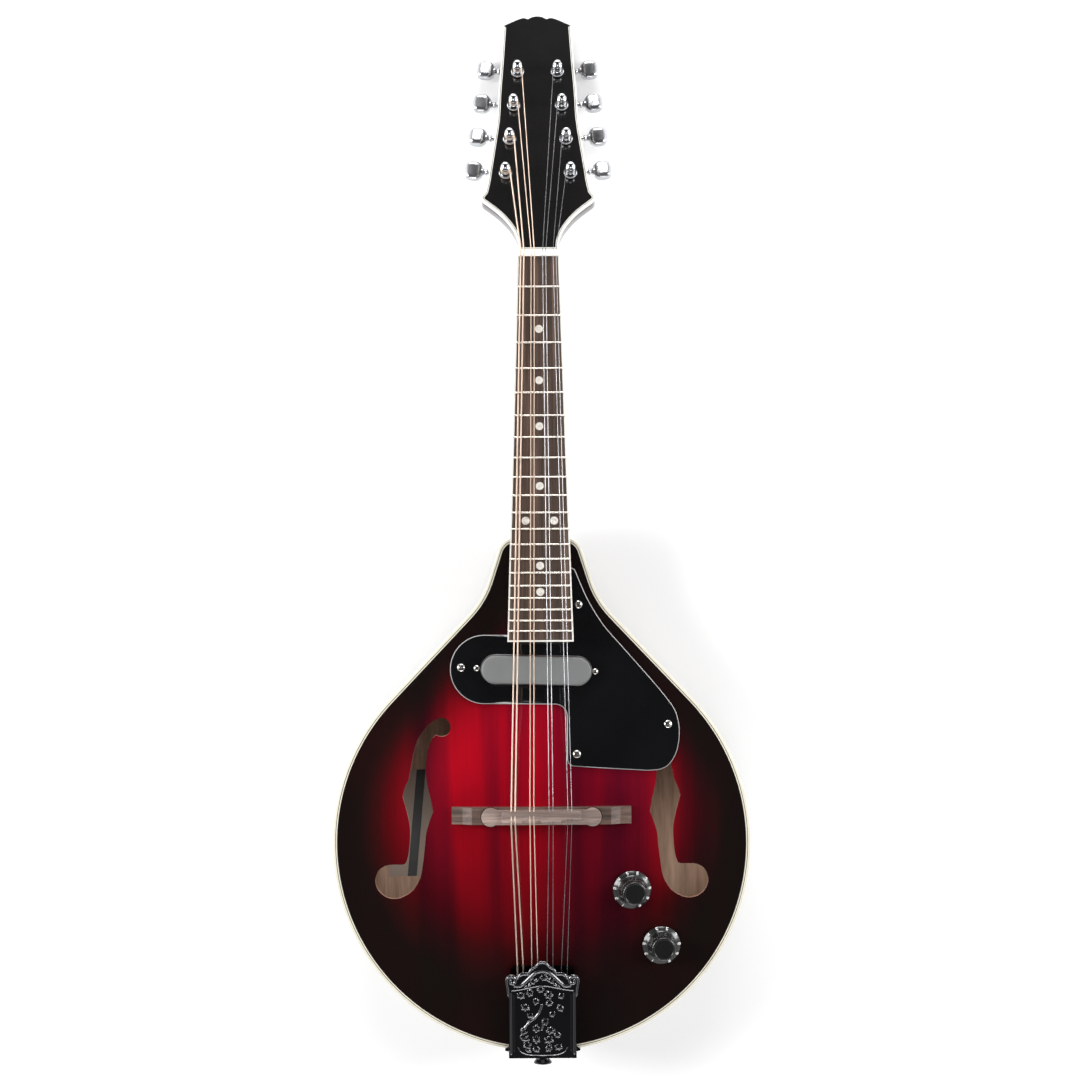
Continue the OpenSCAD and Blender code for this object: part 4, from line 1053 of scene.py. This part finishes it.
SCREWS = [(-51.1, 112.9, 2.45, 25), (24.4, 152.9, 2.45, -10), (81.5, 76, 2.45, 40), (22.8, 57.8, 2.45, 10),
          (-41, 112.5, 1.9, 5), (34.8, 110.1, 1.9, 35)]
shape = Shape()
for x, y, r, a in SCREWS:
    z = float(TOP.z(x, y))
    e = 0.5
    gx = float(TOP.z(x + e, y) - TOP.z(x - e, y)) / (2 * e)
    gy = float(TOP.z(x, y + e) - TOP.z(x, y - e)) / (2 * e)
    lean = Vector((0, 0, 1)).rotation_difference(Vector((-gx, -gy, 1))).to_matrix().to_4x4()
    shape.add(*screw_head(r, 1.0), AT_BODY @ shift(x, y, z + 2.0) @ lean @ turn("Z", a))
shape.build("pickguard_screw_heads", [M["nickel"]], replaces=["pickguard_screws"], slot="tuner_hardware",
            sharp=40)

tilt_top = math.tan(math.radians(NECK_TILT))


def pickup_z(x, y):
    return 78.6 - (y - 111.2) * tilt_top


length, width = PICKUP_SIZE
rows = []
for d, dz in ((0, None), (0, -0.9), (0.12, -0.45), (0.45, -0.12), (0.9, 0), (3, 0), (6, 0), (8.3, 0)):
    p = put(pick_place, np.column_stack([stadium(length - 2 * d, width - 2 * d), np.zeros(PICKUP_POINTS)]))
    z = TOP.z(p[:, 0], p[:, 1]) + 0.15 if dz is None else pickup_z(p[:, 0], p[:, 1]) + dz
    rows.append(np.column_stack([p[:, :2], z]))
v, f = loft(rows)
Shape().add(v, f, AT_BODY).build("pickup_housing", [M["grey"]], replaces=["pickup_cover"],
                                 slot="pickup_cover", sharp=50)
paint("pickup_coil", M["coil"])

# ---- knobs ----

DIGITS = {
    "0": "abcdef", "1": "bc", "2": "abged", "3": "abgcd", "4": "fgbc", "5": "afgcd", "6": "afgedc", "7": "abc",
    "8": "abcdefg", "9": "abfgcd"}
BARS = {"a": (0, 1, 1, 0.16), "d": (0, -1, 1, 0.16), "g": (0, 0, 1, 0.16), "b": (0.5, 0.5, 0.16, 1),
        "c": (0.5, -0.5, 0.16, 1), "e": (-0.5, -0.5, 0.16, 1), "f": (-0.5, 0.5, 0.16, 1)}


def numeral(text, w, h):
    """Strokes of a number, each a flat rectangle (x0, x1, y0, y1)."""
    out = []
    step = w * 1.45
    for i, ch in enumerate(text):
        cx = (i - (len(text) - 1) / 2) * step
        for b in DIGITS[ch]:
            x, y, bw, bh = BARS[b]
            ww, hh = bw * w + 0.28, bh * h / 2 + 0.28
            out.append((cx + x * w - ww / 2, cx + x * w + ww / 2, y * h / 2 - hh / 2, y * h / 2 + hh / 2))
    return out


KNOBS = {"volume_knob": (57.4, -29.2, 73.1, 8.5, -38), "tone_knob": (76.4, -65.6, 67.75, 6.1, -44)}
for node, (x, y, z, lean, az) in KNOBS.items():
    place = AT_BODY @ shift(x, y, z) @ turn("Z", az) @ turn("Y", lean) @ turn("Z", -az)
    skirt = [(12.0, 0.9), (12.25, 1.1), (12.25, 1.9), (12.05, 2.2), (10.05, 3.25), (9.4, 3.7), (8.95, 4.4),
             (8.6, 5.6), (8.35, 7.0)]
    n = 24 * 12
    rows = []
    for r, h in skirt:
        a = around(n)
        rows.append(np.stack([r * np.cos(a), r * np.sin(a), np.full(n, h)], 1))
    for r, h, deep in ((8.25, 7.4, 0.1), (8.15, 8.2, 0.3), (7.95, 12.4, 0.3), (7.75, 13.2, 0.28),
                       (7.35, 13.8, 0.15), (6.9, 14.05, 0.0), (6.3, 14.1, 0.0), (6.1, 13.95, 0.0),
                       (3, 13.95, 0.0), (0.4, 13.95, 0.0)):
        a = around(n)
        rr = r - deep * (1 - np.abs(np.sin(a * 12)) ** 0.6)
        rows.append(np.stack([rr * np.cos(a), rr * np.sin(a), np.full(n, h)], 1))
    v, f = loft(rows)
    shape = Shape().add(v, f, place)
    shape.add(*lathe([(0, -10), (2.9, -10), (3, -9.8), (3, 5), (0, 5)], 28), place, 1)
    for i in range(10):
        a = math.radians(241 - i * 33.7)
        label = str(i + 1)
        for x0, x1, y0, y1 in numeral(label, 0.95 if i < 9 else 0.7, 2.0):
            pts = []
            for u, w in ((x0, y0), (x1, y0), (x1, y1), (x0, y1)):
                rr = 11.0 + w
                t = a - u / 11.0
                h = 3.25 + (10.05 - rr) * 0.525 + 0.05 if rr > 10.05 else 3.3
                pts.append((rr * math.cos(t), rr * math.sin(t), h))
            lower = [(p[0], p[1], p[2] - 0.2) for p in pts]
            shape.add(*loft([pts, lower]), place, 2)
    shape.build(node + "_skirted", [M["knob"], M["steel"], M["mark"]], body=node, replaces=[node],
                slot="knobs")
paint("volume_pot", M["steel"])
paint("tone_pot", M["steel"])
paint("output_jack", M["nickel"])
soften("output_jack", 0.2)

# ---- strings ----

NUT_X = (-11.4, -9.4, -4.7, -2.7, 2.7, 4.7, 9.4, 11.4)
SADDLE_X = (-19.25, -16.75, -7.35, -4.85, 4.85, 7.35, 16.75, 19.25)
SADDLE_Y = (17.4, 17.4, 19.6, 19.6, 17.4, 17.4, 19.6, 19.6)
HOOK_X = (-15.4, -11.5, -6.6, -2.6, 2.6, 6.6, 11.5, 15.4)
RADII = (0.48, 0.48, 0.31, 0.31, 0.2, 0.2, 0.16, 0.16)


def ring(r, tube_r, z, place, turns=1.0, pitch=0.0, start=0.0):
    a = np.linspace(start, start + 2 * math.pi * turns, int(40 * turns) + 1)
    path = np.stack([r * np.cos(a), r * np.sin(a), z + pitch * (a - start) / (2 * math.pi)], 1)
    return tube(put(place, path), tube_r, 10)


for course, pair in (("g", (0, 1)), ("d", (2, 3)), ("a", (4, 5)), ("e", (6, 7))):
    mat = [M.get(course) if course in "gd" else M["plain"]]
    tail, speak, head = Shape(), Shape(), Shape()
    for i in pair:
        r = RADII[i]
        side = -1 if i < 4 else 1
        k = i if i < 4 else 7 - i
        hook = put(AT_TAIL, [(HOOK_X[i], 42 + 2 * r, 1.9)])[0]
        saddle = np.array([SADDLE_X[i], BODY_Y + SADDLE_Y[i], 95.9])
        n0, n1 = put(AT_NECK, [(NUT_X[i], 0.4, 1.45), (NUT_X[i], 4.3, 0.75)])
        px = POST[0] - k * POST_PITCH * math.sin(math.radians(COLUMN_LEAN)) - 2.4 - r
        py = POST[1] + k * POST_PITCH * math.cos(math.radians(COLUMN_LEAN))
        post = put(AT_HEAD, [(side * px, py, 6.6)])[0]
        for shape, a, b, n in ((tail, hook, saddle, 24), (speak, saddle, n0, 60)):
            shape.add(*tube([a + (b - a) * t for t in np.linspace(0, 1, n + 1)], r, 12))
        head.add(*tube(curve([n0, n1, n1 + (post - n1) * 0.5, post], 4), r, 12))
        tail.add(*ring(1 + r, r, 1.9, AT_TAIL @ shift(HOOK_X[i], 41, 0)))
        tail.add(*tube(put(AT_TAIL, curve([(HOOK_X[i] - 0.9 - r, 41.3, 1.9), (HOOK_X[i] - 0.5, 42.4, 1.9),
                                           (HOOK_X[i], 43.6, 2.1)], 4)), r * 0.9, 10))
        head.add(*ring(2.42 + r, r, 6.6 - 2.2 * r, at_column(side) @ shift(0, k * POST_PITCH, 0), 3.0,
                       1.5 * r, math.pi))
    y0 = BODY_Y - 92.0
    ob = tail.build(f"strings_{course}_tail", mat, body=None, sharp=60)
    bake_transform(ob)
    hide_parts(f"strings_{course}")
    ob = speak.build(f"strings_{course}_speaking", mat, body=None, sharp=60)
    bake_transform(ob)
    head.build(f"strings_{course}_head", mat, sharp=60,
               slot="wound_strings" if course in "gd" else "plain_strings")

# ---- stage, light and camera ----

floor_mat = Paint("studio_floor", (0.93, 0.93, 0.93), Roughness=0.75, Emission_Color=(1, 1, 1, 1),
                  Emission_Strength=0.14)
floor_mat.color(floor_mat.ramp(floor_mat.noise(3, 2.0), (0.3, 0.925), (0.7, 0.935)))
me = bpy.data.meshes.new("studio_floor")
me.from_pydata([(-4, -4, -0.0002), (4, -4, -0.0002), (4, 4, -0.0002), (-4, 4, -0.0002)], [], [(0, 1, 2, 3)])
me.materials.append(floor_mat.mat)
floor = bpy.data.objects.new("studio_floor", me)
bpy.context.scene.collection.objects.link(floor)

world = bpy.data.worlds.new("studio_world")
bpy.context.scene.world = world
world.use_nodes = True
wt = world.node_tree
bg = wt.nodes["Background"]
coord = wt.nodes.new("ShaderNodeTexCoord")
sep = wt.nodes.new("ShaderNodeSeparateXYZ")
ramp = wt.nodes.new("ShaderNodeValToRGB")
wt.links.new(coord.outputs["Generated"], sep.inputs[0])
wt.links.new(sep.outputs["Z"], ramp.inputs["Fac"])
wt.links.new(ramp.outputs["Color"], bg.inputs["Color"])
e = ramp.color_ramp.elements
e[0].position, e[0].color = 0.0, (0.95, 0.95, 0.96, 1)
e[1].position, e[1].color = 0.35, (0.85, 0.85, 0.86, 1)
e.new(0.60).color = (0.32, 0.32, 0.325, 1)
e.new(0.76).color = (0.13, 0.13, 0.132, 1)
e.new(0.90).color = (0.03, 0.03, 0.032, 1)
bg.inputs["Strength"].default_value = 0.9


def softbox(name, place, aim, size, power):
    data = bpy.data.lights.new(name, "AREA")
    data.shape = "RECTANGLE"
    data.size, data.size_y = size
    data.energy = power
    ob = bpy.data.objects.new(name, data)
    ob.location = place
    ob.rotation_euler = (Vector(aim) - Vector(place)).to_track_quat("-Z", "Y").to_euler()
    bpy.context.scene.collection.objects.link(ob)


softbox("softbox_left", (-1.75, 0.3, 1.05), (0, 0, 0), (0.7, 1.6), 42)
softbox("softbox_right", (1.75, 0.3, 1.05), (0, 0, 0), (0.7, 1.6), 33)
softbox("softbox_head", (0, 2.2, 0.95), (0, 0, 0), (1.6, 0.6), 34)
softbox("softbox_tail", (0, -1.95, 0.95), (0, -0.1, 0), (1.4, 0.5), 14)
for side in (-1, 1):
    softbox(f"cavity_light_{'bt'[side > 0]}", (side * 0.082, -0.208, 0.058), (side * 0.086, -0.214, 0.0),
            (0.05, 0.05), 0.012)

camera = bpy.data.cameras.new("camera")
camera.lens = 82.9
camera.sensor_width = 36
camera.clip_start, camera.clip_end = 0.05, 20
cam = bpy.data.objects.new("camera", camera)
cam.location = (0, -0.0026, 1.664)
cam.rotation_euler = (0, 0, math.radians(-0.314))
bpy.context.scene.collection.objects.link(cam)
bpy.context.scene.camera = cam
bpy.context.scene.view_settings.view_transform = "Standard"
